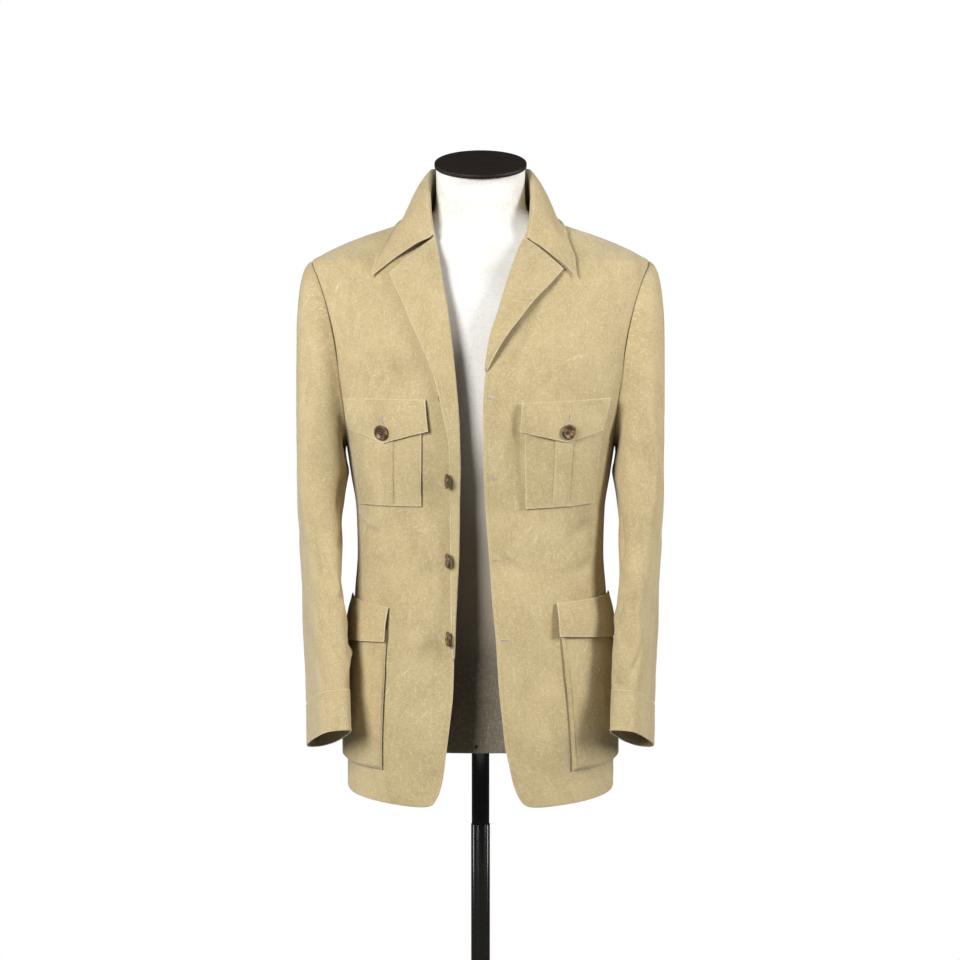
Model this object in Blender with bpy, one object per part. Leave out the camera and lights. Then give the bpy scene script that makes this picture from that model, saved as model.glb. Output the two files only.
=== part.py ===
"""A safari jacket, worn open on a limbless dress form that stands on a pole.

The origin is on the floor under the pole, +Z is up and the jacket faces -Y.
Lengths are in millimetres until a mesh is made. Names that end in _l are on the wearer's
left, which is +X, and names that end in _r on the wearer's right.

The jacket's body is one smooth form: a level ring at each height, whose sizes are in RINGS.
Each cloth piece is a sheet on or round that form. The panels measure their wall along the
form's normals, and the other pieces have theirs from a Solidify modifier.
"""
import math

import bpy
import numpy as np
from mathutils import Vector

MM = 0.001
CLOTH = 1.6          # wall of one cloth layer
SEAM = 0.3           # gap between two pieces at a seam
LYING = 1.1          # gap under a piece that lies on a panel

HEM_FRONT = 716.0
HEM_SIDE = 724.0
HEM_BACK = 740.0
NECK_POINT = 1474.0  # where the shoulder seam meets the collar
SHOULDER_POINT = 1404.0
UNDERARM = 1165.0

RING_COLUMNS = ("z", "half", "front", "back", "power")
RINGS = [
    (700, 173, 136, 130, 2.5), (770, 174, 137, 131, 2.5), (835, 172, 136, 130, 2.5),
    (916, 168, 132, 122, 2.5), (978, 163, 127, 110, 2.5), (1030, 159.5, 122, 100, 2.5),
    (1085, 161, 124, 103, 2.5), (1129, 167.5, 129, 110, 2.5), (1180, 176, 134, 117, 2.5),
    (1212, 186, 136, 120, 2.5), (1275, 200, 134, 121, 2.5), (1330, 208, 122, 114, 2.5),
    (1380, 215, 97, 99, 2.4), (1404, 216, 79, 88, 2.3), (1412, 204, 71, 82, 2.2),
    (1424, 180, 59, 75, 2.15), (1437, 147, 50, 69, 2.1), (1451, 105.5, 42, 64, 2.1),
    (1462, 83, 33, 60, 2.1), (1474, 66, 24, 56, 2.1)]

# The armhole seam, going from the shoulder point forward, under the arm and up the back.
ARMHOLE_COLUMNS = ("turn", "z", "depth")
ARMHOLE = [
    (0, 1404, 0), (30, 1386, -30), (60, 1338, -61), (90, 1278, -74), (120, 1222, -70),
    (150, 1184, -48), (180, 1165, 0), (210, 1184, 50), (240, 1225, 72), (270, 1280, 76),
    (300, 1338, 66), (330, 1386, 34), (360, 1404, 0)]

# Each front edge, from the hem's rounded corner up to the collar: the cut edge below and
# the crease of the turned-out lapel above.
EDGE_COLUMNS = ("z", "x")
EDGE = {
    "l": [(722, 54.5), (732, 47.3), (748, 41), (771, 35.7), (796, 30.5), (834, 26.3),
          (876, 22.1), (927, 19), (968, 15), (1033, 10.4), (1097, 5.6), (1161, 3.1),
          (1218, 2.6), (1260, 4.9), (1284, 8), (1308, 12), (1332, 19.8), (1352, 26.2),
          (1371, 32), (1394, 40), (1418, 49), (1428, 53.7)],
    "r": [(722, 59.5), (736, 51.8), (758, 46.4), (781, 43.4), (823, 38.2), (864, 34),
          (896, 33), (938, 31.9), (989, 29.9), (1030, 27.7), (1097, 26.8), (1152, 25.6),
          (1218, 28), (1246, 30.3), (1292, 35), (1332, 39.7), (1368, 46.1), (1408, 53.1),
          (1428, 56.8)]}
NECKLINE = [(1442, 58.5), (1455, 60.5), (1466, 63.5)]

# The free edge of each lapel, from its lower end up to its corner.
LAPEL = {
    "l": [(1266, 8), (1286, 18.3), (1306, 30.9), (1327, 46.9), (1352, 67.8), (1371, 86),
          (1391, 103.9)],
    "r": [(905, 35.8), (960, 36.2), (1005, 36.6), (1097, 37.6), (1174, 39), (1218, 47.7),
          (1245, 53.9), (1269, 60.3), (1287, 68.2), (1308, 77.7), (1332, 89.1), (1352, 97.3),
          (1371, 107.2), (1387, 113.6)]}

# The collar, from its front end round to the centre of the back: where its stand is sewn
# on, where it folds and where its free edge lies.
COLLAR_COLUMNS = ("round", "seam_x", "seam_y", "seam_z", "fold_x", "fold_y", "fold_z",
                  "edge_x", "edge_y", "edge_z")
COLLAR = [
    (0.00, 57.5, -50, 1436, 57, -57.5, 1436.5, 128, -85, 1384),
    (0.12, 60, -41, 1447, 61.5, -50, 1456, 131, -68, 1402),
    (0.25, 62, -30, 1458, 64, -33, 1482, 124, -48, 1419),
    (0.38, 64, -16, 1467, 64, -17, 1500, 114, -25, 1440),
    (0.55, 66, 6, 1474, 60.5, 20, 1522, 104, 8, 1454),
    (0.75, 50, 42, 1473, 43, 53, 1525, 74, 66, 1447),
    (1.00, 0, 62, 1468, 0, 72, 1525, 0, 88, 1444)]
# How the two sides of the collar differ from those rows: out at the edge, and up at it and
# at the fold.
COLLAR_SIDE_COLUMNS = ("round", "edge_x", "edge_z", "fold_z")
COLLAR_SIDE = {
    "l": [(0.0, -8, -5, -5), (0.12, -13, -2, -1), (0.25, -12, 0, 0), (0.38, -8, 0, 0),
          (0.55, -5, 0, 0), (0.75, 0, 0, 0), (1.0, 0, 0, 0)],
    "r": [(0.0, 9, -1.5, -1), (0.12, 1, 0, -1), (0.25, -2, 0, 0), (0.38, -5, 0, 0),
          (0.55, -5, 0, 0), (0.75, 0, 0, 0), (1.0, 0, 0, 0)]}

# The sleeve below the armhole: flat empty ovals, each pitched with its front edge up and
# turned with its front edge towards the body.
SLEEVE_COLUMNS = ("z", "x", "y", "long", "short", "toe", "pitch")
SLEEVE = [
    (1130, 205, -4, 76, 33, 3, 2), (1085, 207.5, -9, 74, 29, 6, 6),
    (1040, 208, -17, 72, 25.5, 9, 11), (990, 206, -30, 70, 23, 12, 16),
    (940, 202, -46, 67, 22, 15, 19), (890, 198.5, -63, 64, 21.5, 17, 20),
    (848, 196, -78, 61, 20.5, 19, 20)]
CUFF = [(847.6, 196, -78.1, 61.6, 20.9, 19, 20), (822, 195, -88, 61.5, 21, 19.5, 20),
        (799, 194, -96.5, 60, 20.5, 20, 20)]

# Patch pockets and flaps on the front: how far round the body (degrees from the centre
# front) and how high their four corners are.
BREAST = {
    "l": {"round": (13, 55), "foot": (15.5, 57), "top": (1207, 1208), "bottom": (1094, 1098),
          "flap_round": (11.2, 53.5), "flap_top": (1227, 1232), "flap_side": (1191, 1193),
          "point": 1177, "pleat": 0.42},
    "r": {"round": (18.5, 58), "foot": (22, 68), "top": (1208, 1208), "bottom": (1097, 1096),
          "flap_round": (16, 60), "flap_top": (1231, 1232), "flap_side": (1192, 1193),
          "point": 1176, "pleat": 0.43}}
HIP = {
    "l": {"round": (32, 84), "foot": (36.5, 84), "top": (945, 948), "bottom": (762, 764),
          "flap_round": (30.3, 85), "flap_top": (975, 979), "flap_side": (933, 921)},
    "r": {"round": (40, 84), "foot": (40.5, 84), "top": (940, 945), "bottom": (763, 764),
          "flap_round": (39.8, 85), "flap_top": (968, 976), "flap_side": (925, 918)}}

BUTTON_RADIUS = 9.6
BUTTON_THICK = 3.2
FRONT_BUTTON_COLUMNS = ("z", "x", "turn", "lift")
FRONT_BUTTONS = [(1234, 43.0, 0, 2.3), (1131, 41.2, 80, 9.4), (1030, 40.4, 77, 10.3),
                 (932, 39.8, 74, 8.6)]

# The largest folds: soft troughs (depth below 0) and ridges, each along a bowed line on its
# piece. Across is x on a front (on the wearer's left) or the back, and on a sleeve the angle
# round it: 0 outside, 90 in front, 180 inside, 270 behind.
FOLD_COLUMNS = ("from_across", "from_z", "to_across", "to_z", "bow", "width", "depth")
FOLDS = {
    "front_l": [(50, 1000, 76, 770, -5, 17, -2.4), (84, 900, 84, 790, 6, 15, 1.6)],
    "front_r": [(58, 960, 74, 790, 8, 17, -2.4), (80, 1060, 96, 900, -3, 15, 1.6)],
    "back": [
        (-60, 1360, -38, 1130, 10, 24, -2.6), (64, 1350, 44, 1110, -9, 22, -2.8),
        (-140, 1060, -40, 1040, -9, 20, -2.2), (146, 1050, 30, 1030, 10, 20, -2.4),
        (-30, 980, -46, 800, 9, 22, -3.0), (52, 985, 70, 790, -8, 24, -3.2),
        (-100, 960, -112, 770, 6, 22, 2.2), (112, 950, 124, 775, -6, 20, 2.0)],
    "sleeve": [
        (120, 1190, 70, 1080, 9, 20, -2.8), (150, 1010, 85, 985, 8, 18, -2.8),
        (60, 960, 130, 920, -9, 18, -2.4), (300, 1010, 220, 985, 9, 18, -3.0),
        (320, 960, 240, 930, -9, 18, -2.6), (280, 1080, 240, 1040, 8, 20, 2.2)]}

# The dress form below the jacket's own shoulders.
FORM = [
    (776, 138, 76, 100, 2.3), (850, 142, 77, 104, 2.3), (930, 140, 78, 98, 2.3),
    (1030, 128, 82, 84, 2.3), (1100, 130, 92, 86, 2.3), (1200, 150, 115, 96, 2.3),
    (1280, 166, 114, 102, 2.3), (1340, 176, 104, 100, 2.2), (1380, 189, 86, 90, 2.1),
    (1400, 201, 72, 82, 1.95), (1409, 198, 68, 78, 1.85), (1421, 175.5, 59, 72, 1.75),
    (1434, 142.5, 51, 66, 1.65), (1448, 99.3, 47, 62.8, 1.5), (1459, 74, 45, 56, 1.65),
    (1470, 60, 45, 53, 1.9), (1482, 57.5, 46, 54, 2), (1500, 57, 46, 56, 2)]
NECK_TILT = 18.5
NECK_TOP = (0, 5, 1525.5)
NECK_RADIUS = (57.5, 58)
CAP_RADIUS = (59.5, 62)
CAP_THICK = 6.0
FORM_BOTTOM = 776.0

POLE_RADIUS = 11.6
POLE_LOWER_RADIUS = 12.4
POLE_STEP = 668.0
BASE_RADIUS = 170.0
BASE_THICK = 9.0
HUB_RADIUS = 34.0
HUB_TOP = 30.0

COLOURS = {
    "cloth": (0.56, 0.47, 0.27, 0.85, 0.0), "horn": (0.10, 0.05, 0.02, 0.35, 0.0),
    "linen": (0.86, 0.85, 0.82, 0.8, 0.0), "dark_wood": (0.02, 0.015, 0.012, 0.3, 0.0),
    "black_metal": (0.02, 0.02, 0.02, 0.2, 0.6)}


def curve_through(places, values, at):
    """A smooth curve through the values, which never swings past them."""
    places, values = np.asarray(places, float), np.asarray(values, float)
    at = np.clip(np.asarray(at, float), places[0], places[-1])
    step = np.diff(places)
    slope = np.diff(values) / step
    bend = np.concatenate([slope[:1], np.zeros(len(slope) - 1), slope[-1:]])
    for i in range(1, len(slope)):
        if slope[i - 1] * slope[i] > 0:
            before, after = 2 * step[i] + step[i - 1], step[i] + 2 * step[i - 1]
            bend[i] = (before + after) / (before / slope[i - 1] + after / slope[i])
    i = np.clip(np.searchsorted(places, at, side="right") - 1, 0, len(step) - 1)
    t = (at - places[i]) / step[i]
    return ((1 + 2 * t) * (1 - t) ** 2 * values[i] + t * (1 - t) ** 2 * step[i] * bend[i]
            + t * t * (3 - 2 * t) * values[i + 1] + t * t * (t - 1) * step[i] * bend[i + 1])


def column(rows, columns, name):
    """One named column of a table."""
    return [row[columns.index(name)] for row in rows]


def lookup(rows, columns, name, at):
    """A named column of a table, read at places along its first column."""
    return curve_through(column(rows, columns, columns[0]), column(rows, columns, name), at)


def ring(z, rows=RINGS):
    """Half width, front depth, back depth and power of the level ring at z."""
    return [lookup(rows, RING_COLUMNS, name, z) for name in RING_COLUMNS[1:]]


def depth_at(x, z, rear=False, rows=RINGS):
    """The y of the body form's surface at x and z, in front or behind."""
    half, front, back, power = ring(z, rows)
    share = np.clip(np.abs(x) / half, 0, 1)
    reach = (1 - share ** power) ** (1 / power)
    return back * reach if rear else -front * reach


def width_at(y, z):
    """The x of the body form's surface at y and z, on the wearer's left."""
    half, front, back, power = ring(z)
    share = np.clip(np.abs(y) / np.where(np.asarray(y) > 0, back, front), 0, 1)
    return half * (1 - share ** power) ** (1 / power)


def level(points):
    """How far out each point is: 1 on the body form's surface, more outside it."""
    x, y, z = np.moveaxis(np.asarray(points, float), -1, 0)
    half, front, back, power = ring(z)
    depth = np.where(y > 0, back, front)
    return ((np.abs(x) / half) ** power + (np.abs(y) / depth) ** power) ** (1 / power)


def steepest(points):
    """The gradient of level, by small steps."""
    small = 0.5
    parts = []
    for axis in np.eye(3) * small:
        parts.append((level(points + axis) - level(points - axis)) / (2 * small))
    return np.stack(parts, -1)


def outward(points):
    """Unit normals of the body form at points on or near its surface."""
    slope = steepest(np.asarray(points, float))
    return slope / np.linalg.norm(slope, axis=-1, keepdims=True)


def lifted(x, z, out, rear=False):
    """Points on the front or back of the body form, moved out along its normals."""
    x, z, out = np.broadcast_arrays(*(np.asarray(v, float) for v in (x, z, out)))
    points = np.stack([x, depth_at(x, z, rear), z], -1)
    return points + outward(points) * out[..., None]


def clear_of_body(points, gap):
    """The points, those nearer to the body form than the gap moved out to it."""
    for _ in range(4):
        slope = steepest(points)
        size = np.linalg.norm(slope, axis=-1)
        short = np.maximum(gap - (level(points) - 1) / size, 0)
        points = points + slope / size[..., None] * short[..., None]
    return points


def round_to_x(degrees, z):
    """The x of a place that is so many degrees round the body from its centre front."""
    half, _, _, power = ring(z)
    return half * np.sin(np.radians(degrees)) ** (2 / power)


def spaced(points, shares):
    """Points at shares of the length of a line through the given points."""
    points = np.asarray(points, float)
    run = np.concatenate([[0], np.cumsum(np.linalg.norm(np.diff(points, axis=0), axis=1))])
    return np.stack([np.interp(np.asarray(shares) * run[-1], run, points[:, k])
                     for k in range(points.shape[1])], -1)


def on_body(points):
    """The points, each moved straight onto the body form's surface."""
    for _ in range(6):
        slope = steepest(points)
        points = points - slope * ((level(points) - 1) / (slope ** 2).sum(-1))[..., None]
    return points


def patch(left, right, low, high, rows, cols):
    """A grid on the body form between four edge lines that share their ends."""
    v, u = rows[:, None, None], cols[None, :, None]
    corners = ((1 - u) * (1 - v) * low[0] + u * (1 - v) * low[-1]
               + (1 - u) * v * high[0] + u * v * high[-1])
    flat = ((1 - u) * left[:, None] + u * right[:, None]
            + (1 - v) * low[None] + v * high[None] - corners)
    grid = on_body(flat)
    grid[:, 0], grid[:, -1], grid[0], grid[-1] = left, right, low, high
    return grid


def folds_at(across, z, piece):
    """How far the largest folds of a piece stand out of it, or in where below 0."""
    height = np.zeros(np.shape(across))
    for row in FOLDS[piece]:
        from_x, from_z, to_x, to_z, bow, width, depth = row
        length = math.hypot(to_x - from_x, to_z - from_z)
        right, up = (to_x - from_x) / length, (to_z - from_z) / length
        along = ((across - from_x) * right + (z - from_z) * up) / length
        off = (across - from_x) * up - (z - from_z) * right - bow * 4 * along * (1 - along)
        fade = np.clip(1.15 - np.abs(along - 0.5) * 2.1, 0, 1)
        height += depth * fade * fade * (3 - 2 * fade) * np.exp(-(off / width) ** 2)
    return height


MATERIALS = {}


def material(name):
    """The plain material of one finish."""
    if name not in MATERIALS:
        red, green, blue, rough, metal = COLOURS[name]
        made = bpy.data.materials.new(name)
        made.use_nodes = True
        shader = made.node_tree.nodes["Principled BSDF"]
        shader.inputs["Base Color"].default_value = (red, green, blue, 1)
        shader.inputs["Roughness"].default_value = rough
        shader.inputs["Metallic"].default_value = metal
        MATERIALS[name] = made
    return MATERIALS[name]


def add_object(name, vertices, faces, finish):
    """A mesh object from vertices in millimetres."""
    mesh = bpy.data.meshes.new(name)
    mesh.from_pydata([tuple(v * MM) for v in np.asarray(vertices, float)], [], faces)
    mesh.update()
    mesh.materials.append(material(finish))
    mesh.shade_smooth()
    made = bpy.data.objects.new(name, mesh)
    bpy.context.collection.objects.link(made)
    return made


def grid_faces(rows, cols, closed):
    """Quads of a grid of points, row by row; a closed one joins its last column to its first."""
    faces = []
    for r in range(rows - 1):
        for c in range(cols if closed else cols - 1):
            d = (c + 1) % cols
            faces.append((r * cols + c, r * cols + d, (r + 1) * cols + d, (r + 1) * cols + c))
    return faces


def sheet(name, grid, finish="cloth", wall=CLOTH, closed=False, mirrored=False):
    """A cloth piece: a sheet through the grid, with its wall on the inner side.

    The grid's rows go up and its columns go anticlockwise seen from above, so that its
    faces look outward. A mirrored one has x reversed, and its columns with it.
    """
    grid = np.array(grid, float)
    if mirrored:
        grid[..., 0] *= -1
        grid = grid[:, ::-1]
    made = add_object(name, grid.reshape(-1, 3), grid_faces(*grid.shape[:2], closed), finish)
    solid = made.modifiers.new("Wall", "SOLIDIFY")
    solid.thickness = wall * MM
    solid.offset = -1
    solid.use_rim = True
    return made


def panel(name, outer, keep):
    """A panel of the body: its wall is measured along the body form's own normals.

    keep(y) holds both faces of the wall on the panel's own side of its seams.
    """
    inner = outer - outward(outer) * CLOTH
    outer[..., 1], inner[..., 1] = keep(outer[..., 1]), keep(inner[..., 1])
    rows, cols = outer.shape[:2]
    count = rows * cols
    faces = grid_faces(rows, cols, False)
    faces += [tuple(i + count for i in reversed(face)) for face in faces]
    rim = ([c for c in range(cols)] + [r * cols + cols - 1 for r in range(1, rows)]
           + [(rows - 1) * cols + c for c in range(cols - 2, -1, -1)]
           + [r * cols for r in range(rows - 2, 0, -1)])
    for a, b in zip(rim, rim[1:] + rim[:1]):
        faces.append((a, a + count, b + count, b))
    points = np.concatenate([outer.reshape(-1, 3), inner.reshape(-1, 3)])
    return add_object(name, points, faces, "cloth")


def turned(name, profile, finish, sides):
    """A turned piece from its profile, listed from the top of the axis down to its foot."""
    vertices = [(radius, 0, z) for radius, z in profile]
    edges = [(i, i + 1) for i in range(len(profile) - 1)]
    mesh = bpy.data.meshes.new(name)
    mesh.from_pydata([tuple(Vector(v) * MM) for v in vertices], edges, [])
    mesh.materials.append(material(finish))
    made = bpy.data.objects.new(name, mesh)
    bpy.context.collection.objects.link(made)
    screw = made.modifiers.new("Turn", "SCREW")
    screw.steps = screw.render_steps = sides
    screw.use_merge_vertices = True
    screw.merge_threshold = 0.00005
    screw.use_smooth_shade = True
    return made


def solid_stack(name, rings_of_points, finish):
    """A closed body through a stack of loops, from the lowest to the highest."""
    loops = np.asarray(rings_of_points, float)
    rows, cols = loops.shape[:2]
    faces = grid_faces(rows, cols, True)
    faces.append(tuple(range(cols))[::-1])
    faces.append(tuple((rows - 1) * cols + c for c in range(cols)))
    return add_object(name, loops.reshape(-1, 3), faces, finish)


# Front and back panels

PANEL_COLUMNS = np.array([0, 0.03, 0.07, 0.14, 0.24, 0.35, 0.46, 0.57, 0.68, 0.79, 0.9, 1])
PANEL_ROWS = np.concatenate([[0, 0.017, 0.035, 0.075], np.linspace(0.14, 1, 10)])
BACK_COLUMNS = PANEL_COLUMNS[[0, 3, 4, 5, 6, 7, 8, 9, 10, 11]]
BACK_ROWS = np.linspace(0, 1, 12)
ARM_TURNS = np.array([0, 6] + list(range(15, 181, 15)))  # from the shoulder to the underarm
UNDERARM_SHARE = 0.6  # of the way up a front edge, where its rows reach the underarm


def hem_height(x, half):
    """Height of the front hem, which rises a little towards the side."""
    return HEM_FRONT + (HEM_SIDE - HEM_FRONT) * np.clip(np.abs(x) / half, 0, 1) ** 2


def edge_x(side, z):
    """x of the front edge or lapel crease on one side."""
    return lookup(EDGE[side], EDGE_COLUMNS, "x", z)


def armhole(turns):
    """Points of the armhole seam on the wearer's left."""
    z = lookup(ARMHOLE, ARMHOLE_COLUMNS, "z", turns)
    y = lookup(ARMHOLE, ARMHOLE_COLUMNS, "depth", turns)
    return np.stack([width_at(y, z), y, z], -1)


def side_line(rear, rows):
    """The side seam from the hem to the underarm, then the armhole to the shoulder."""
    z = np.linspace(HEM_SIDE, UNDERARM, 60)
    seam = spaced(np.stack([ring(z)[0], 0 * z, z], -1), rows)[:-1]
    turns = ARM_TURNS[::-1]
    return np.concatenate([seam, armhole(360 - turns if rear else turns)])


def climb(rows):
    """Shares of the way up a middle edge that go with the rows of side_line."""
    upper = 1 - (1 - UNDERARM_SHARE) * ARM_TURNS[::-1] / 180
    return np.concatenate([rows[:-1] * UNDERARM_SHARE, upper])


def shoulder_line():
    """The shoulder seam from the collar to the shoulder point."""
    z = np.linspace(NECK_POINT, SHOULDER_POINT, 30)
    return np.stack([ring(z)[0], 0 * z, z], -1)


def front_lines(side, rise):
    """The four edges of a front panel, the crease moved out sideways by rise(z)."""
    z = np.array(column(EDGE[side], EDGE_COLUMNS, "z"), float)
    x = edge_x(side, z) + rise(z)
    neck = np.array(NECKLINE, float)
    x = np.concatenate([x, neck[:, 1], [ring(NECK_POINT)[0]]])
    z = np.concatenate([z, neck[:, 0], [NECK_POINT]])
    left = spaced(np.stack([x, depth_at(x, z), z], -1), climb(PANEL_ROWS))
    right = side_line(False, PANEL_ROWS)
    half = ring(HEM_SIDE)[0]
    start = left[0]
    x = start[0] + (half - start[0]) * np.sin(np.linspace(0, math.pi / 2, 90)) ** 0.8
    corner = np.exp(-(x - start[0]) / 7.0)
    z = hem_height(x, half) + (start[2] - hem_height(start[0], half)) * corner
    low = spaced(np.stack([x, depth_at(x, z), z], -1), PANEL_COLUMNS)
    high = spaced(shoulder_line(), PANEL_COLUMNS)
    low[-1], high[0], high[-1] = right[0], left[-1], right[-1]
    return left, right, low, high


def front_panel(side):
    """One front panel, from its front edge or crease to the side seam and armhole."""
    foot = LAPEL[side][0][0]

    def rise(z):
        # where the edge is turned out, the panel stops short of it by the fold's radius
        return FOLD_RADIUS * np.clip((z - foot) / 25 + 1, 0, 1) + SEAM
    grid = patch(*front_lines(side, rise), climb(PANEL_ROWS), PANEL_COLUMNS)
    grid += outward(grid) * folds_at(grid[..., 0], grid[..., 2], "front_" + side)[..., None]
    if side == "r":
        grid = grid[:, ::-1] * (-1, 1, 1)
    panel("front_" + side, grid, lambda y: np.minimum(y, -SEAM / 2))


def back_panel():
    """The back in one piece, from side seam to side seam."""
    neck_cols = 3
    rows = climb(BACK_ROWS)
    right = side_line(True, BACK_ROWS)
    neck_z = np.linspace(NECK_POINT - 6, NECK_POINT, 20)
    neck_x = ring(NECK_POINT)[0] * np.sin(np.linspace(0, math.pi / 2, 20))
    neck = on_body(np.stack([neck_x, depth_at(neck_x, neck_z, True), neck_z], -1))
    shares = (BACK_COLUMNS[neck_cols:] - BACK_COLUMNS[neck_cols]) / (1 - BACK_COLUMNS[neck_cols])
    high = np.concatenate([spaced(neck, np.linspace(0, 1, neck_cols + 1)),
                           spaced(shoulder_line(), shares)[1:]])
    z = np.linspace(HEM_BACK, neck[0][2], 60)
    left = spaced(np.stack([0 * z, depth_at(0 * z, z, True), z], -1), rows)
    x = ring(HEM_SIDE)[0] * np.sin(np.linspace(0, math.pi / 2, 90)) ** 0.8
    z = HEM_BACK + (HEM_SIDE - HEM_BACK) * (x / x[-1]) ** 3
    low = spaced(np.stack([x, depth_at(x, z, True), z], -1), BACK_COLUMNS)
    low[-1], high[0], high[-1] = right[0], left[-1], right[-1]
    half = patch(left, right, low, high, rows, BACK_COLUMNS)
    other = half[:, :0:-1] * (-1, 1, 1)
    whole = np.concatenate([other, half], axis=1)[:, ::-1]
    whole = whole + outward(whole) * folds_at(whole[..., 0], whole[..., 2], "back")[..., None]
    panel("back", whole, lambda y: np.maximum(y, SEAM / 2))


# Lapels

FOLD_RADIUS = 2.8
FOLD_TURNS = np.radians([28, 60, 95, 130, 170])


def lapel(side):
    """The turned-out part of a front edge: round the crease, then flat over the panel."""
    free = LAPEL[side]
    low, top = free[0][0], EDGE[side][-1][0]
    line = np.array(free, float)[:, ::-1]
    rows = 19 if side == "r" else 12
    shares = np.linspace(0, 1, rows)
    outer = spaced(line, shares)
    crease_z = low + (top - low) * shares
    crease_x = edge_x(side, crease_z)
    lift_free = np.interp(outer[:, 1], [1240, 1380], [4.8, 3.2])
    grid = []
    for x0, z0, (x1, z1), flat in zip(crease_x, crease_z, outer, lift_free):
        row = []
        for turn in FOLD_TURNS:
            out = FOLD_RADIUS * (1 - math.cos(turn))
            side_step = FOLD_RADIUS * (1 - math.sin(turn))
            row.append(lifted(x0 + side_step, z0, out))
        reach = max(x1 - x0 - FOLD_RADIUS, 0.6)
        for share in (0.3, 0.65, 1.0):
            x = x0 + FOLD_RADIUS + reach * share
            z = z0 + (z1 - z0) * (x - x0) / max(x1 - x0, 1)
            out = 2 * FOLD_RADIUS + (flat - 2 * FOLD_RADIUS) * share ** 2
            row.append(lifted(x, z, out))
        grid.append(row)
    grid = np.array(grid)[:, ::-1]
    sheet("lapel_" + side, grid, mirrored=side == "r")


# Collar

FALL_BULGE = 5.0


def collar():
    """Stand and fall in one folded sheet, round the neck from one front end to the other."""
    stops = np.concatenate([np.linspace(0, 0.5, 8), np.linspace(0.6, 1, 5)])
    half, other = collar_half(stops, "l"), collar_half(stops, "r")
    whole = np.concatenate([half, (other[:, :-1] * (-1, 1, 1))[:, ::-1]], axis=1)
    sheet("collar", whole[::-1], wall=2.0)


def collar_half(stops, side):
    """One half of the collar, seen as on the wearer's left, from its seam to its edge."""

    def at(name):
        return lookup(COLLAR, COLLAR_COLUMNS, name, stops)
    seam, fold, edge = (np.stack([at(part + axis) for axis in ("_x", "_y", "_z")], -1)
                        for part in ("seam", "fold", "edge"))
    rows = COLLAR_SIDE[side]
    edge[:, 0] += lookup(rows, COLLAR_SIDE_COLUMNS, "edge_x", stops)
    edge[:, 2] += lookup(rows, COLLAR_SIDE_COLUMNS, "edge_z", stops)
    fold[:, 2] += lookup(rows, COLLAR_SIDE_COLUMNS, "fold_z", stops)
    away = edge - fold
    away[:, 2] = 0
    away /= np.linalg.norm(away, axis=1, keepdims=True)
    up = np.array([0, 0, 1.0])
    seam = seam + away * 0.5 + up * 1.2
    over = fold + away * 6.5 - up * 1.5
    lines = [seam, seam + (fold - up * 3 - seam) * 0.5 - away * 0.8, fold - up * 3,
             fold + away * 1.2 + up * 0.2, fold + away * 3.6 + up * 1.0, over]
    for share in (0.2, 0.45, 0.7, 0.9, 1.0):
        flat = over + (edge - over) * share
        bulge = FALL_BULGE * math.sin(math.pi * share ** 0.8)
        lines.append(clear_of_body(flat + away * bulge * 0.4 + up * bulge * 0.6, 4.2))
    return np.stack(lines, 0)


# Sleeves and cuffs

def oval(row, turns):
    """A loop of a sleeve, from its outer side forward and round."""
    z, x, y, long, short, toe, pitch = row
    toe, pitch = math.radians(toe), math.radians(pitch)
    forward = np.array([-math.sin(toe) * math.cos(pitch), -math.cos(toe) * math.cos(pitch),
                        math.sin(pitch)])
    outer = np.array([math.cos(toe), -math.sin(toe), 0])
    angle = np.radians(turns)[:, None]
    return (np.array([x, y, z]) + short * np.cos(angle) * outer + long * np.sin(angle) * forward)


def sleeve(side):
    """A sleeve: its head curves from the armhole into the flat tube that hangs below."""
    turns = np.concatenate([ARM_TURNS, 360 - ARM_TURNS[-2:0:-1]])
    start = armhole(turns)
    first = oval(SLEEVE[0], turns)
    angle = np.radians(turns)[:, None]
    leave = np.concatenate([0.85 + 0.15 * np.cos(angle), -0.35 * np.sin(angle),
                            0.05 * np.cos(angle) - 0.2], axis=1)
    leave /= np.linalg.norm(leave, axis=1, keepdims=True)
    drop = (start[:, 2:] - first[:, 2:])
    start = start + leave * (SEAM + 0.25)
    pull = 6 + drop * 0.075
    one = start + leave * pull
    two = first + np.array([0, 0, 1.0]) * drop * 0.55
    head = []
    for t in (0, 0.08, 0.2, 0.4, 0.7):
        head.append((1 - t) ** 3 * start + 3 * t * (1 - t) ** 2 * one
                    + 3 * t * t * (1 - t) * two + t ** 3 * first)
    z = np.linspace(SLEEVE[0][0], SLEEVE[-1][0], 15)
    tube = [oval([height] + [float(lookup(SLEEVE[::-1], SLEEVE_COLUMNS, name, height))
                             for name in SLEEVE_COLUMNS[1:]], turns) for height in z]
    loops = np.array(head + tube)[::-1]
    rise = folds_at(np.broadcast_to(turns, loops.shape[:2]), loops[..., 2], "sleeve")
    loops = clear_sleeve(loops + loop_normals(loops) * rise[..., None])
    sheet("sleeve_" + side, loops[:, ::-1], closed=True, mirrored=side == "r")


def loop_normals(loops):
    """Unit normals of a tube of loops, pointing out of it."""
    across = np.roll(loops, -1, axis=1) - np.roll(loops, 1, axis=1)
    normal = np.cross(np.gradient(loops, axis=0), across)
    return normal / np.linalg.norm(normal, axis=2, keepdims=True)


def clear_sleeve(loops):
    """Sleeve points below the armhole, kept just clear of the jacket's side."""
    below = loops[..., 2] < UNDERARM + 12
    moved = clear_of_body(loops, 1.2)
    return np.where(below[..., None], moved, loops)


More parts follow.
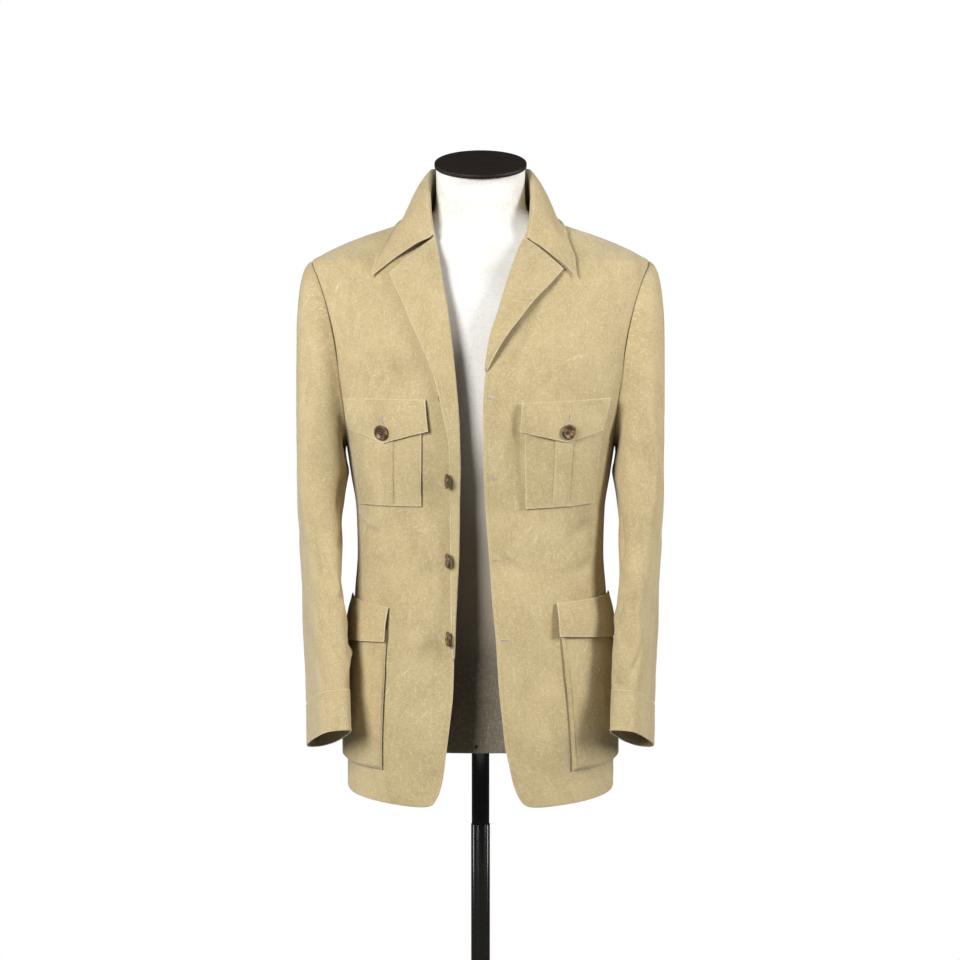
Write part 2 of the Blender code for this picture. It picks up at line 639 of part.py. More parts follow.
def cuff(side):
    """The band at the end of a sleeve."""
    turns = np.arange(0, 360, 18.0)
    loops = np.array([oval(row, turns) for row in CUFF])[::-1]
    sheet("cuff_" + side, loops[:, ::-1], closed=True, wall=2.4, mirrored=side == "r")


# Pockets

def patch_on_front(side, rounds, feet, tops, bottoms, outs, shares_u, shares_v):
    """A grid on the front between four corners, standing out by outs[row][column]."""
    grid = []
    for v, lift_row in zip(shares_v, outs):
        row = []
        for u, out in zip(shares_u, lift_row):
            low = bottoms[0] + (bottoms[1] - bottoms[0]) * u
            high = tops[0] + (tops[1] - tops[0]) * u
            z = low + (high - low) * v
            start = feet[0] + (rounds[0] - feet[0]) * v
            end = feet[1] + (rounds[1] - feet[1]) * v
            row.append(lifted(round_to_x(start + (end - start) * u, z), z, out))
        grid.append(row)
    return np.array(grid)


POCKET_OUT = LYING + CLOTH


def breast_pocket(side):
    """A patch pocket with a raised box pleat down its middle."""
    size = BREAST[side]
    middle = size["pleat"]
    us = [0, 0.18, middle - 0.115, middle - 0.1, middle, middle + 0.1, middle + 0.115, 0.82, 1]
    raised = [0, 0, 0, 1.3, 1.4, 1.3, 0, 0, 0]
    vs = [0, 0.03, 0.3, 0.55, 0.75, 0.85, 1]
    pleat = [0, 1, 1, 1, 0.7, 0, 0]
    outs = [[POCKET_OUT + r * p for r in raised] for p in pleat]
    grid = patch_on_front(side, size["round"], size["foot"], size["top"], size["bottom"],
                          outs, us, vs)
    sheet("breast_pocket_" + side, grid, wall=1.4, mirrored=side == "r")


def breast_flap(side):
    """The pointed flap over a breast pocket."""
    size = BREAST[side]
    us = np.array([0, 0.25, size["pleat"] + 0.06, 0.78, 1])
    point = size["flap_side"][0] - size["point"]
    tip = us[2]
    dip = point * np.where(us < tip, us / tip, (1 - us) / (1 - tip))
    grid = []
    for v, out in ((0, 6.2), (0.35, 6.1), (0.7, 5.4), (1, 2.9)):
        row = []
        for u, extra in zip(us, dip):
            low = size["flap_side"][0] + (size["flap_side"][1] - size["flap_side"][0]) * u
            high = size["flap_top"][0] + (size["flap_top"][1] - size["flap_top"][0]) * u
            z = (low - extra) + (high - low + extra) * v
            start, end = size["flap_round"]
            row.append(lifted(round_to_x(start + (end - start) * u, z), z, out))
        grid.append(row)
    sheet("breast_flap_" + side, np.array(grid), mirrored=side == "r")
    return tip


HIP_RISE = 4.5


def hip_pocket(side):
    """A bellows pocket: its face stands off the panel on a folded side."""
    size = HIP[side]
    us = [0, 0.03, 0.25, 0.5, 0.72, 0.9, 0.97, 1]
    vs = [0, 0.02, 0.2, 0.45, 0.7, 0.9, 1]
    outs = []
    for v in vs:
        rise = HIP_RISE * (1 if 0 < v <= 0.7 else 0.4 if v == 0.9 else 0)
        outs.append([POCKET_OUT] + [POCKET_OUT + rise] * 6 + [POCKET_OUT])
    grid = patch_on_front(side, size["round"], size["foot"], size["top"], size["bottom"],
                          outs, us, vs)
    sheet("hip_pocket_" + side, grid, wall=1.4, mirrored=side == "r")


def hip_flap(side):
    """The flap over a hip pocket."""
    size = HIP[side]
    us = [0, 0.2, 0.4, 0.6, 0.8, 1]
    outs = [[out] * 6 for out in (9.0, 8.4, 6.4, 2.9)]
    grid = patch_on_front(side, size["flap_round"], size["flap_round"], size["flap_top"],
                          size["flap_side"], outs, us, [0, 0.35, 0.7, 1])
    sheet("hip_flap_" + side, grid, mirrored=side == "r")


# Buttons

def button(name, centre, facing):
    """A button with a raised rim, its face turned along facing."""
    half, rim = BUTTON_THICK / 2, BUTTON_RADIUS
    profile = [(0, half - 1.0), (rim * 0.6, half - 0.9), (rim * 0.75, half), (rim * 0.92, half),
               (rim, -half + 1.2), (rim * 0.75, -half), (0, -half)]
    made = turned(name, profile, "horn", 16)
    made.location = Vector(centre) * MM
    made.rotation_euler = Vector((0, 0, 1)).rotation_difference(Vector(facing)).to_euler()


def flap_button(side, tip):
    """The button in the middle of a breast flap."""
    size = BREAST[side]
    z = size["point"] + 14.5
    start, end = size["flap_round"]
    x = round_to_x(start + (end - start) * tip, z)
    sign = 1 if side == "l" else -1
    on = lifted(x, z, 5.9 + 0.9 + BUTTON_THICK / 2)
    facing = outward(lifted(x, z, 0))
    button("flap_button_" + side, on * (sign, 1, 1), facing * (sign, 1, 1))


def front_buttons():
    """The buttons on the wearer's right front; those that show are turned on edge."""
    for number, (z, x, turn, lift) in enumerate(FRONT_BUTTONS, 1):
        angle = math.radians(turn)
        centre = lifted(x, z, lift) * (-1, 1, 1)
        facing = (-math.sin(angle), -math.cos(angle), 0)
        button("front_button_%d" % number, centre, facing)


# Dress form and stand

def form_loops(turns):
    """Level loops of the dress form, from its flat bottom up into the neck."""
    angle = np.radians(turns)
    heights = [FORM_BOTTOM, 815, 850, 890, 930, 980, 1030, 1065, 1100, 1150, 1200, 1240, 1280,
               1310, 1340, 1360, 1380, 1392] + column(FORM, RING_COLUMNS, "z")[9:]
    loops = []
    for z in heights:
        half, front, back, power = ring(z, FORM)
        c, s = np.cos(angle), np.sin(angle)
        x = half * np.sign(c) * np.abs(c) ** (2 / power)
        y = np.where(s > 0, back, front) * np.sign(s) * np.abs(s) ** (2 / power)
        loops.append(np.stack([x, y, 0 * x + z], -1))
    return loops


def tilted_loop(radii, centre, turns, shift=0.0):
    """A loop across the neck, tilted forward, moved along its own axis by shift."""
    angle, tilt = np.radians(turns), math.radians(NECK_TILT)
    flat = np.stack([radii[0] * np.cos(angle), radii[1] * np.sin(angle), 0 * angle + shift], -1)
    turn = np.array([[1, 0, 0], [0, math.cos(tilt), -math.sin(tilt)],
                     [0, math.sin(tilt), math.cos(tilt)]])
    return flat @ turn.T + np.array(centre, float)


def dress_form():
    """The padded linen form that the jacket hangs on."""
    turns = np.arange(0, 360, 18.0)
    loops = form_loops(turns)
    loops.append(tilted_loop(NECK_RADIUS, NECK_TOP, turns, -0.3))
    solid_stack("form_body", loops, "linen")
    cap = [tilted_loop([r - 1.2 for r in CAP_RADIUS], NECK_TOP, turns, 0),
           tilted_loop(CAP_RADIUS, NECK_TOP, turns, 1.2),
           tilted_loop(CAP_RADIUS, NECK_TOP, turns, CAP_THICK - 1.4),
           tilted_loop([r - 1.4 for r in CAP_RADIUS], NECK_TOP, turns, CAP_THICK)]
    solid_stack("neck_cap", cap, "dark_wood")


def stand():
    """The pole under the form and the round plate that it stands on."""
    top = FORM_BOTTOM - SEAM
    foot = HUB_TOP + SEAM
    turned("pole", [(0, top), (POLE_RADIUS + 5, top), (POLE_RADIUS + 5, top - 6),
                    (POLE_RADIUS, top - 7), (POLE_RADIUS, POLE_STEP + 1),
                    (POLE_LOWER_RADIUS, POLE_STEP), (POLE_LOWER_RADIUS, foot), (0, foot)],
           "black_metal", 20)
    turned("base", [(0, HUB_TOP), (HUB_RADIUS - 6, HUB_TOP), (HUB_RADIUS, BASE_THICK + 2),
                    (HUB_RADIUS + 6, BASE_THICK), (BASE_RADIUS - 3, BASE_THICK - 2),
                    (BASE_RADIUS, BASE_THICK - 5), (BASE_RADIUS, 0), (0, 0)],
           "black_metal", 40)


def main():
    """Build every piece."""
    for old in list(bpy.data.objects):
        bpy.data.objects.remove(old)
    back_panel()
    collar()
    for side in ("l", "r"):
        front_panel(side)
        lapel(side)
        sleeve(side)
        cuff(side)
        breast_pocket(side)
        flap_button(side, breast_flap(side))
        hip_pocket(side)
        hip_flap(side)
    front_buttons()
    dress_form()
    stand()


main()
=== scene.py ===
"""The looks of a washed canvas safari jacket, worn open on a limbless dress form.

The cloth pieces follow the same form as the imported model's solids, with their folds, seams
and stitching. The frame is the model's: metres, +Z up, the jacket faces -Y, and _l is the
wearer's left (+X). Lengths are in millimetres until a mesh is made.
"""
import math

import bpy
import numpy as np
from mathutils import Matrix, Vector


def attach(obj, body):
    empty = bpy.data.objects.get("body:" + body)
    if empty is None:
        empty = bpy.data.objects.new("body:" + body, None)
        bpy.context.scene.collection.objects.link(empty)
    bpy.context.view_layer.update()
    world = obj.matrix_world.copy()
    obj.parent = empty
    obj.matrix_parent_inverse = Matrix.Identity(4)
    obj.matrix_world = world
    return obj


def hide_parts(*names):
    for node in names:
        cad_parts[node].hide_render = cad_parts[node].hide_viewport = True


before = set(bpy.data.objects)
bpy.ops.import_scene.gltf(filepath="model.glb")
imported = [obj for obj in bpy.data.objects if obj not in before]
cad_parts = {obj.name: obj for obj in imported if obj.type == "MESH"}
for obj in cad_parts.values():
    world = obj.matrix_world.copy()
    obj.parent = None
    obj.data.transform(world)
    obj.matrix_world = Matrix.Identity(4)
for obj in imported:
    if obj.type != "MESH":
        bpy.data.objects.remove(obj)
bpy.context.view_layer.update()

MM = 0.001
SEAM = 0.3
WALL = 1.2           # wall of one cloth layer as it is seen
GRAIN = 3.4          # spacing of a cloth piece's points

# The body form: one level ring at each height.

HEM_FRONT, HEM_SIDE, HEM_BACK = 716.0, 724.0, 740.0
NECK_POINT, SHOULDER_POINT, UNDERARM = 1474.0, 1404.0, 1165.0

RING_COLUMNS = ("z", "half", "front", "back", "power")
RINGS = [
    (700, 173, 136, 130, 2.5), (770, 174, 137, 131, 2.5), (835, 172, 136, 130, 2.5),
    (916, 168, 132, 122, 2.5), (978, 163, 127, 110, 2.5), (1030, 159.5, 122, 100, 2.5),
    (1085, 161, 124, 103, 2.5), (1129, 167.5, 129, 110, 2.5), (1180, 176, 134, 117, 2.5),
    (1212, 186, 136, 120, 2.5), (1275, 200, 134, 121, 2.5), (1330, 208, 122, 114, 2.5),
    (1380, 215, 97, 99, 2.4), (1404, 216, 79, 88, 2.3), (1412, 204, 71, 82, 2.2),
    (1424, 180, 59, 75, 2.15), (1437, 147, 50, 69, 2.1), (1451, 105.5, 42, 64, 2.1),
    (1462, 83, 33, 60, 2.1), (1474, 66, 24, 56, 2.1)]

# The armhole seam, going from the shoulder point forward, under the arm and up the back.
ARMHOLE_COLUMNS = ("turn", "z", "depth")
ARMHOLE = [
    (0, 1404, 0), (30, 1386, -30), (60, 1338, -61), (90, 1278, -74), (120, 1222, -70),
    (150, 1184, -48), (180, 1165, 0), (210, 1184, 50), (240, 1225, 72), (270, 1280, 76),
    (300, 1338, 66), (330, 1386, 34), (360, 1404, 0)]

# Each front edge: the cut edge below and the crease of the turned-out lapel above.
EDGE_COLUMNS = ("z", "x")
EDGE = {
    "l": [(722, 54.5), (732, 47.3), (748, 41), (771, 35.7), (796, 30.5), (834, 26.3),
          (876, 22.1), (927, 19), (968, 15), (1033, 10.4), (1097, 5.6), (1161, 3.1),
          (1218, 2.6), (1260, 4.9), (1284, 8), (1308, 12), (1332, 19.8), (1352, 26.2),
          (1371, 32), (1394, 40), (1418, 49), (1428, 53.7)],
    "r": [(722, 59.5), (736, 51.8), (758, 46.4), (781, 43.4), (823, 38.2), (864, 34),
          (896, 33), (938, 31.9), (989, 29.9), (1030, 27.7), (1097, 26.8), (1152, 25.6),
          (1218, 28), (1246, 30.3), (1292, 35), (1332, 39.7), (1368, 46.1), (1408, 53.1),
          (1428, 56.8)]}
NECKLINE = [(1442, 58.5), (1455, 60.5), (1466, 63.5)]

# The free edge of each lapel, from its lower end up to its corner.
LAPEL = {
    "l": [(1266, 8), (1286, 18.3), (1306, 30.9), (1327, 46.9), (1352, 67.8), (1371, 86),
          (1391, 103.9)],
    "r": [(905, 34.6), (960, 35.9), (1005, 36.6), (1097, 37.6), (1174, 39), (1218, 47.7),
          (1245, 53.9), (1269, 60.3), (1287, 68.2), (1308, 77.7), (1332, 89.1), (1352, 97.3),
          (1371, 107.2), (1387, 113.6)]}

# The collar, from its front end round to the centre of the back: where its stand is sewn
# on, where it folds and where its free edge lies.
COLLAR_COLUMNS = ("round", "seam_x", "seam_y", "seam_z", "fold_x", "fold_y", "fold_z",
                  "edge_x", "edge_y", "edge_z")
COLLAR = [
    (0.00, 57.5, -50, 1436, 57, -57.5, 1436.5, 128, -85, 1384),
    (0.12, 60, -41, 1447, 61.5, -50, 1456, 131, -68, 1402),
    (0.25, 62, -30, 1458, 64, -33, 1482, 124, -48, 1419),
    (0.38, 64, -16, 1467, 64, -17, 1500, 114, -25, 1440),
    (0.55, 66, 6, 1474, 60.5, 20, 1522, 104, 8, 1454),
    (0.75, 50, 42, 1473, 43, 53, 1525, 74, 66, 1447),
    (1.00, 0, 62, 1468, 0, 72, 1525, 0, 88, 1444)]

# How the two sides of the collar differ from those rows: out at the edge, and up at it and
# at the fold.
COLLAR_SIDE_COLUMNS = ("round", "edge_x", "edge_z", "fold_z")
COLLAR_SIDE = {
    "l": [(0.0, -8, -5, -5), (0.12, -13, -2, -1), (0.25, -12, 0, 0), (0.38, -8, 0, 0),
          (0.55, -5, 0, 0), (0.75, 0, 0, 0), (1.0, 0, 0, 0)],
    "r": [(0.0, 9, -1.5, -1), (0.12, 1, 0, -1), (0.25, -2, 0, 0), (0.38, -5, 0, 0),
          (0.55, -5, 0, 0), (0.75, 0, 0, 0), (1.0, 0, 0, 0)]}

# The sleeve below the armhole: flat ovals, pitched with their front edge up and turned in.
SLEEVE_COLUMNS = ("z", "x", "y", "long", "short", "toe", "pitch")
SLEEVE = [
    (1130, 205, -4, 76, 33, 3, 2), (1085, 207.5, -9, 74, 29, 6, 6),
    (1040, 208, -17, 72, 25.5, 9, 11), (990, 206, -30, 70, 23, 12, 16),
    (940, 202, -46, 67, 22, 15, 19), (890, 198.5, -63, 64, 21.5, 17, 20),
    (848, 196, -78, 61, 20.5, 19, 20)]
CUFF = [(847.6, 196, -78.1, 61.6, 20.9, 19, 20), (822, 195, -88, 61.5, 21, 19.5, 20),
        (799, 194, -96.5, 60, 20.5, 20, 20)]

# Patch pockets and flaps: how far round the body (degrees from the centre front) and how
# high their corners are.
BREAST = {
    "l": {"round": (13, 55), "foot": (15.5, 57), "top": (1207, 1208), "bottom": (1094, 1098),
          "flap_round": (11.2, 53.5), "flap_top": (1227, 1232), "flap_side": (1191, 1193),
          "point": 1177, "pleat": 0.42},
    "r": {"round": (18.5, 58), "foot": (22, 68), "top": (1208, 1208), "bottom": (1097, 1096),
          "flap_round": (16, 60), "flap_top": (1231, 1232), "flap_side": (1192, 1193),
          "point": 1176, "pleat": 0.43}}
HIP = {
    "l": {"round": (32, 84), "foot": (36.5, 84), "top": (945, 948), "bottom": (762, 764),
          "flap_round": (30.3, 85), "flap_top": (975, 979), "flap_side": (933, 921)},
    "r": {"round": (40, 84), "foot": (40.5, 84), "top": (940, 945), "bottom": (763, 764),
          "flap_round": (39.8, 85), "flap_top": (968, 976), "flap_side": (925, 918)}}

BUTTON_RADIUS, BUTTON_THICK = 9.6, 3.2
FRONT_BUTTONS = [(1234, 43.0, 0, 2.3), (1131, 41.2, 80, 9.4), (1030, 40.4, 77, 10.3),
                 (932, 39.8, 74, 8.6)]
FRONT_HOLES = [(1233, 7.3, 17.6), (1132, 10.3, 22.3), (1030, 15.1, 26.4), (930, 24.4, 36.2)]

FORM = [
    (776, 138, 76, 100, 2.3), (850, 142, 77, 104, 2.3), (930, 140, 78, 98, 2.3),
    (1030, 128, 82, 84, 2.3), (1100, 130, 92, 86, 2.3), (1200, 150, 115, 96, 2.3),
    (1280, 166, 114, 102, 2.3), (1340, 176, 104, 100, 2.2), (1380, 189, 86, 90, 2.1),
    (1400, 201, 72, 82, 1.95), (1409, 198, 68, 78, 1.85), (1421, 175.5, 59, 72, 1.75),
    (1434, 142.5, 51, 66, 1.65), (1448, 99.3, 47, 62.8, 1.5), (1459, 74, 45, 56, 1.65),
    (1470, 60, 45, 53, 1.9), (1482, 57.5, 46, 54, 2), (1500, 57, 46, 56, 2)]
NECK_TILT = 18.5
NECK_TOP = (0, 5, 1525.5)
NECK_RADIUS, CAP_RADIUS, CAP_THICK = (57.5, 58), (59.5, 62), 6.0
FORM_BOTTOM = 776.0
POLE_RADIUS, POLE_LOWER_RADIUS, POLE_STEP = 11.6, 12.4, 668.0
BASE_RADIUS, BASE_THICK, HUB_RADIUS, HUB_TOP = 170.0, 9.0, 34.0, 30.0

# Folds: soft troughs (depth below 0) and ridges, each along a bowed line on its piece, in
# millimetres across and up. On a front or the back, across is x on the wearer's left.
# Columns: from_x, from_z, to_x, to_z, bow, width, depth and worn.
FOLDS = {
    "front_l": [
        (88, 1352, 42, 1256, 4, 11, -8.0, 0), (42, 1262, 40, 1020, -6, 12, -6.0, 0),
        (78, 1300, 74, 1120, 4, 14, 1.6, 0), (94, 1272, 147, 1288, -3, 1.8, 0.7, 1.0),
        (23, 1052, 62, 1027, 6, 3.0, 0.6, 0.8), (106, 1104, 119, 1046, -5, 2.6, 0.5, 0.6),
        (52, 985, 80, 780, -5, 15, -4.4, 0), (100, 900, 92, 770, 6, 16, 2.8, 0),
        (24, 1036, 66, 1010, 5, 8, -2.4, 0.2), (160, 1180, 116, 1240, 5, 12, -3.2, 0),
        (150, 1075, 108, 1040, 6, 8, -3.0, 0.2), (150, 1030, 96, 1008, -6, 8, -2.8, 0.2),
        (40, 1000, 46, 860, 6, 10, 1.2, 0), (132, 760, 170, 748, 2, 4.5, 0.8, 0.4),
        (112, 757, 128, 733, 2, 6, -0.9, 0.1), (150, 752, 158, 730, -2, 5, -0.8, 0.1),
        (30, 820, 60, 742, 5, 12, -1.2, 0), (60, 1330, 120, 1345, 6, 14, -1.0, 0)],
    "front_r": [
        (160, 1094, 130, 1066, -4, 4, 1.8, 0.8),
        (158, 1082, 124, 1054, -4, 7, -3.6, 0), (150, 1060, 112, 1080, 5, 9, 1.8, 0.2),
        (88, 990, 83, 905, -3, 4, 1.1, 0.6), (58, 960, 76, 800, 8, 15, -4.4, 0),
        (135, 1292, 76, 1228, 6, 16, -4.0, 0), (101, 853, 70, 955, -4, 12, 2.2, 0),
        (52, 995, 49, 855, 3, 8, -1.0, 0), (148, 1165, 112, 1235, -5, 13, -2.6, 0),
        (60, 1210, 66, 1030, 5, 14, -1.2, 0), (150, 1020, 90, 1010, 6, 10, -2.2, 0.2),
        (100, 1075, 60, 1058, 4, 3.0, 0.5, 0.7), (96, 760, 128, 748, 2, 8, 0.8, 0.2),
        (70, 790, 66, 738, 3, 12, -1.2, 0), (96, 1370, 80, 1250, -5, 16, 1.1, 0)],
    "back": [
        (-60, 1360, -38, 1130, 10, 22, -2.6, 0), (64, 1350, 44, 1110, -9, 20, -2.8, 0),
        (-120, 1300, -100, 1120, 8, 20, 2.0, 0), (122, 1296, 104, 1130, -7, 18, 2.2, 0),
        (-150, 1200, -70, 1120, 10, 12, -2.0, 0.2), (152, 1190, 80, 1128, -9, 13, -2.2, 0.1),
        (-140, 1060, -40, 1040, -9, 10, -2.2, 0.3), (146, 1050, 30, 1030, 10, 11, -2.4, 0.2),
        (-90, 1020, 20, 1006, 8, 8, 1.6, 0.4), (20, 1075, 100, 1060, -6, 7, 1.2, 0.4),
        (-30, 980, -46, 800, 9, 20, -3.0, 0), (52, 985, 70, 790, -8, 22, -3.2, 0),
        (-100, 960, -112, 770, 6, 20, 2.2, 0), (112, 950, 124, 775, -6, 18, 2.0, 0),
        (8, 1330, 4, 1180, 4, 18, 1.2, 0), (10, 940, 14, 770, 5, 18, 2.0, 0),
        (-70, 1400, 70, 1400, 8, 9, -0.7, 0.2)]}

# On a sleeve, across is the angle round it (0 outside, 90 in front, 180 inside, 270 behind)
# and the width is across the fold.
SLEEVE_FOLDS = {
    "l": [
        (8, 1385, 4, 850, 3, 2.2, 0.7, 1.0), (120, 1190, 70, 1080, 9, 11, -3.8, 0),
        (165, 1120, 110, 1010, 8, 10, -3.5, 0), (100, 1060, 60, 940, -8, 9, 2.9, 0.2),
        (150, 1010, 85, 985, 8, 8, -3.8, 0.2), (60, 985, 130, 940, -9, 9, -3.5, 0.2),
        (170, 960, 95, 925, 6, 7, 2.6, 0.3), (40, 930, 95, 880, 8, 8, -2.9, 0.1),
        (140, 905, 70, 868, -8, 7, -2.9, 0.2), (300, 1010, 220, 985, 9, 9, -4.2, 0.2),
        (320, 960, 240, 930, -9, 9, -3.8, 0.2), (280, 1080, 240, 1000, 8, 12, 3.2, 0),
        (330, 905, 250, 880, 8, 8, -2.9, 0.1), (300, 1190, 330, 1060, 8, 14, -2.9, 0),
        (230, 1120, 300, 1090, -8, 9, -2.6, 0.1), (40, 1300, 55, 1180, 5, 14, -1.9, 0)],
    "r": [
        (10, 1385, 6, 850, -3, 2.2, 0.7, 1.0), (60, 1120, 95, 960, -6, 10, -3.5, 0),
        (150, 1140, 120, 1080, 6, 9, -3.8, 0.1), (170, 1090, 115, 1040, -8, 9, -3.5, 0.2),
        (100, 1010, 150, 930, 6, 10, 3.2, 0.1), (165, 1000, 90, 960, 8, 8, -3.2, 0.2),
        (50, 960, 110, 905, 9, 9, -3.2, 0), (175, 915, 110, 885, 7, 6, 3.8, 0.3),
        (150, 880, 60, 864, -7, 7, -3.2, 0.2), (20, 900, 70, 868, 6, 8, -2.2, 0.1),
        (290, 1020, 210, 1000, 8, 10, -4.2, 0.2), (330, 970, 250, 940, 9, 9, -3.5, 0.2),
        (270, 1090, 250, 1010, -7, 12, 2.9, 0), (310, 900, 240, 885, -7, 8, -3.0, 0.1),
        (320, 1200, 300, 1080, 6, 14, -2.6, 0), (45, 1310, 60, 1190, -5, 14, -2.1, 0)]}


# Curves and the body form

def curve_through(places, values, at):
    """A smooth curve through the values, which never swings past them."""
    places, values = np.asarray(places, float), np.asarray(values, float)
    at = np.clip(np.asarray(at, float), places[0], places[-1])
    step = np.diff(places)
    slope = np.diff(values) / step
    bend = np.concatenate([slope[:1], np.zeros(len(slope) - 1), slope[-1:]])
    for i in range(1, len(slope)):
        if slope[i - 1] * slope[i] > 0:
            before, after = 2 * step[i] + step[i - 1], step[i] + 2 * step[i - 1]
            bend[i] = (before + after) / (before / slope[i - 1] + after / slope[i])
    i = np.clip(np.searchsorted(places, at, side="right") - 1, 0, len(step) - 1)
    t = (at - places[i]) / step[i]
    return ((1 + 2 * t) * (1 - t) ** 2 * values[i] + t * (1 - t) ** 2 * step[i] * bend[i]
            + t * t * (3 - 2 * t) * values[i + 1] + t * t * (t - 1) * step[i] * bend[i + 1])


def column(rows, columns, name):
    """One named column of a table."""
    return [row[columns.index(name)] for row in rows]


def lookup(rows, columns, name, at):
    """A named column of a table, read at places along its first column."""
    return curve_through(column(rows, columns, columns[0]), column(rows, columns, name), at)


RING_STEPS = np.arange(RINGS[0][0], RINGS[-1][0] + 0.25, 0.5)
RING_LINES = [lookup(RINGS, RING_COLUMNS, name, RING_STEPS) for name in RING_COLUMNS[1:]]


def ring(z):
    """Half width, front depth, back depth and power of the level ring at z."""
    return [np.interp(z, RING_STEPS, line) for line in RING_LINES]


def depth_at(x, z, rear=False):
    """The y of the body form's surface at x and z, in front or behind."""
    half, front, back, power = ring(z)
    share = np.clip(np.abs(x) / half, 0, 1)
    reach = (1 - share ** power) ** (1 / power)
    return back * reach if rear else -front * reach


def width_at(y, z):
    """The x of the body form's surface at y and z, on the wearer's left."""
    half, front, back, power = ring(z)
    share = np.clip(np.abs(y) / np.where(np.asarray(y) > 0, back, front), 0, 1)
    return half * (1 - share ** power) ** (1 / power)


def level(points):
    """How far out each point is: 1 on the body form's surface, more outside it."""
    x, y, z = np.moveaxis(np.asarray(points, float), -1, 0)
    half, front, back, power = ring(z)
    depth = np.where(y > 0, back, front)
    return ((np.abs(x) / half) ** power + (np.abs(y) / depth) ** power) ** (1 / power)


def steepest(points):
    """The gradient of level, by small steps."""
    small = 0.6
    return np.stack([(level(points + axis) - level(points - axis)) / (2 * small)
                     for axis in np.eye(3) * small], -1)


def outward(points):
    """Unit normals of the body form at points on or near its surface."""
    slope = steepest(np.asarray(points, float))
    return slope / np.linalg.norm(slope, axis=-1, keepdims=True)


def lifted(x, z, out, rear=False):
    """Points on the front or back of the body form, moved out along its normals."""
    x, z, out = np.broadcast_arrays(*(np.asarray(v, float) for v in (x, z, out)))
    points = np.stack([x, depth_at(x, z, rear), z], -1)
    return points + outward(points) * out[..., None]


def clear_of_body(points, gap):
    """The points, those nearer to the body form than the gap moved out to it."""
    for _ in range(4):
        slope = steepest(points)
        size = np.linalg.norm(slope, axis=-1)
        short = np.maximum(gap - (level(points) - 1) / size, 0)
        points = points + slope / size[..., None] * short[..., None]
    return points


def round_to_x(degrees, z):
    """The x of a place that is so many degrees round the body from its centre front."""
    half, _, _, power = ring(z)
    return half * np.sin(np.radians(degrees)) ** (2 / power)


def run_of(points):
    """How far along a line each of its points is."""
    return np.concatenate([[0], np.cumsum(np.linalg.norm(np.diff(points, axis=0), axis=1))])


def along_line(places, run, points):
    """The points of a line at distances along it."""
    return np.stack([np.interp(places, run, points[:, k]) for k in range(3)], -1)


def spaced(points, shares):
    """Points at shares of the length of a line through the given points."""
    points = np.asarray(points, float)
    run = run_of(points)
    return np.stack([np.interp(np.asarray(shares) * run[-1], run, points[:, k])
                     for k in range(points.shape[1])], -1)


def on_body(points):
    """The points, each moved straight onto the body form's surface."""
    for _ in range(5):
        slope = steepest(points)
        points = points - slope * ((level(points) - 1) / (slope ** 2).sum(-1))[..., None]
    return points


def patch(left, right, low, high, rows, cols):
    """A grid on the body form between four edge lines that share their ends."""
    v, u = rows[:, None, None], cols[None, :, None]
    corners = ((1 - u) * (1 - v) * low[0] + u * (1 - v) * low[-1]
               + (1 - u) * v * high[0] + u * v * high[-1])
    flat = ((1 - u) * left[:, None] + u * right[:, None]
            + (1 - v) * low[None] + v * high[None] - corners)
    grid = on_body(flat)
    grid[:, 0], grid[:, -1], grid[0], grid[-1] = left, right, low, high
    return grid


def shares(length, ends=(True, True), step=GRAIN):
    """Shares along an edge of a piece, closer together near its sewn ends."""
    close = [0, 0.7, 1.6, 2.8, 4.2, 5.3, 6.0, 6.7, 7.8, 9.5]
    start = close if ends[0] else [0]
    stop = close if ends[1] else [0]
    count = max(int((length - start[-1] - stop[-1]) / step), 2)
    middle = np.linspace(start[-1], length - stop[-1], count + 1)
    return np.concatenate([start[:-1], middle, [length - s for s in stop[:-1]][::-1]]) / length


# Folds and unevenness

NOISE = np.random.default_rng(7).uniform(-1, 1, (24, 24, 24))


def wander(points, scale, shift=0.0):
    """Smooth seeded unevenness between -1 and 1, of one size in millimetres."""
    at = np.asarray(points, float) / scale + 100.3 + shift
    whole = np.floor(at).astype(int)
    part = at - whole
    part = part * part * (3 - 2 * part)
    total = 0
    for corner in np.ndindex(2, 2, 2):
        index = (whole + corner) % 24
        weight = np.prod([part[..., k] if corner[k] else 1 - part[..., k] for k in range(3)], 0)
        total = total + NOISE[index[..., 0], index[..., 1], index[..., 2]] * weight
    return total


def folds_at(across, up, table):
    """Height and wear of a table's folds at places on a piece."""
    height, worn = np.zeros(np.shape(across)), np.zeros(np.shape(across))
    for ax, az, bx, bz, bow, width, depth, wear in table:
        length = math.hypot(bx - ax, bz - az)
        dx, dz = (bx - ax) / length, (bz - az) / length
        along = ((across - ax) * dx + (up - az) * dz) / length
        off = (across - ax) * dz - (up - az) * dx - bow * 4 * along * (1 - along)
        fade = np.clip(1.15 - np.abs(along - 0.5) * 2.1, 0, 1)
        fade = fade * fade * (3 - 2 * fade)
        uneven = 1 + 0.35 * np.sin(along * 9 + ax)
        height += depth * fade * uneven * np.exp(-(off / width) ** 2)
        worn += wear * fade * np.exp(-(off / min(width, 1.6)) ** 2)
    return height, worn


def body_relief(points, table):
    """How far the cloth of a body panel stands out of the form, and its wear."""
    x, z = points[..., 0], points[..., 2]
    height, worn = folds_at(x, z, FOLDS[table])
    height = height + 1.5 * wander(points, 70) + 0.5 * wander(points, 26) \
        + 0.08 * wander(points, 11)
    calm = np.clip((1405 - z) / 45, 0.12, 1)
    side = np.clip((ring(z)[0] - np.abs(x)) / 26, 0, 1)
    return height * calm * (0.25 + 0.75 * side), worn


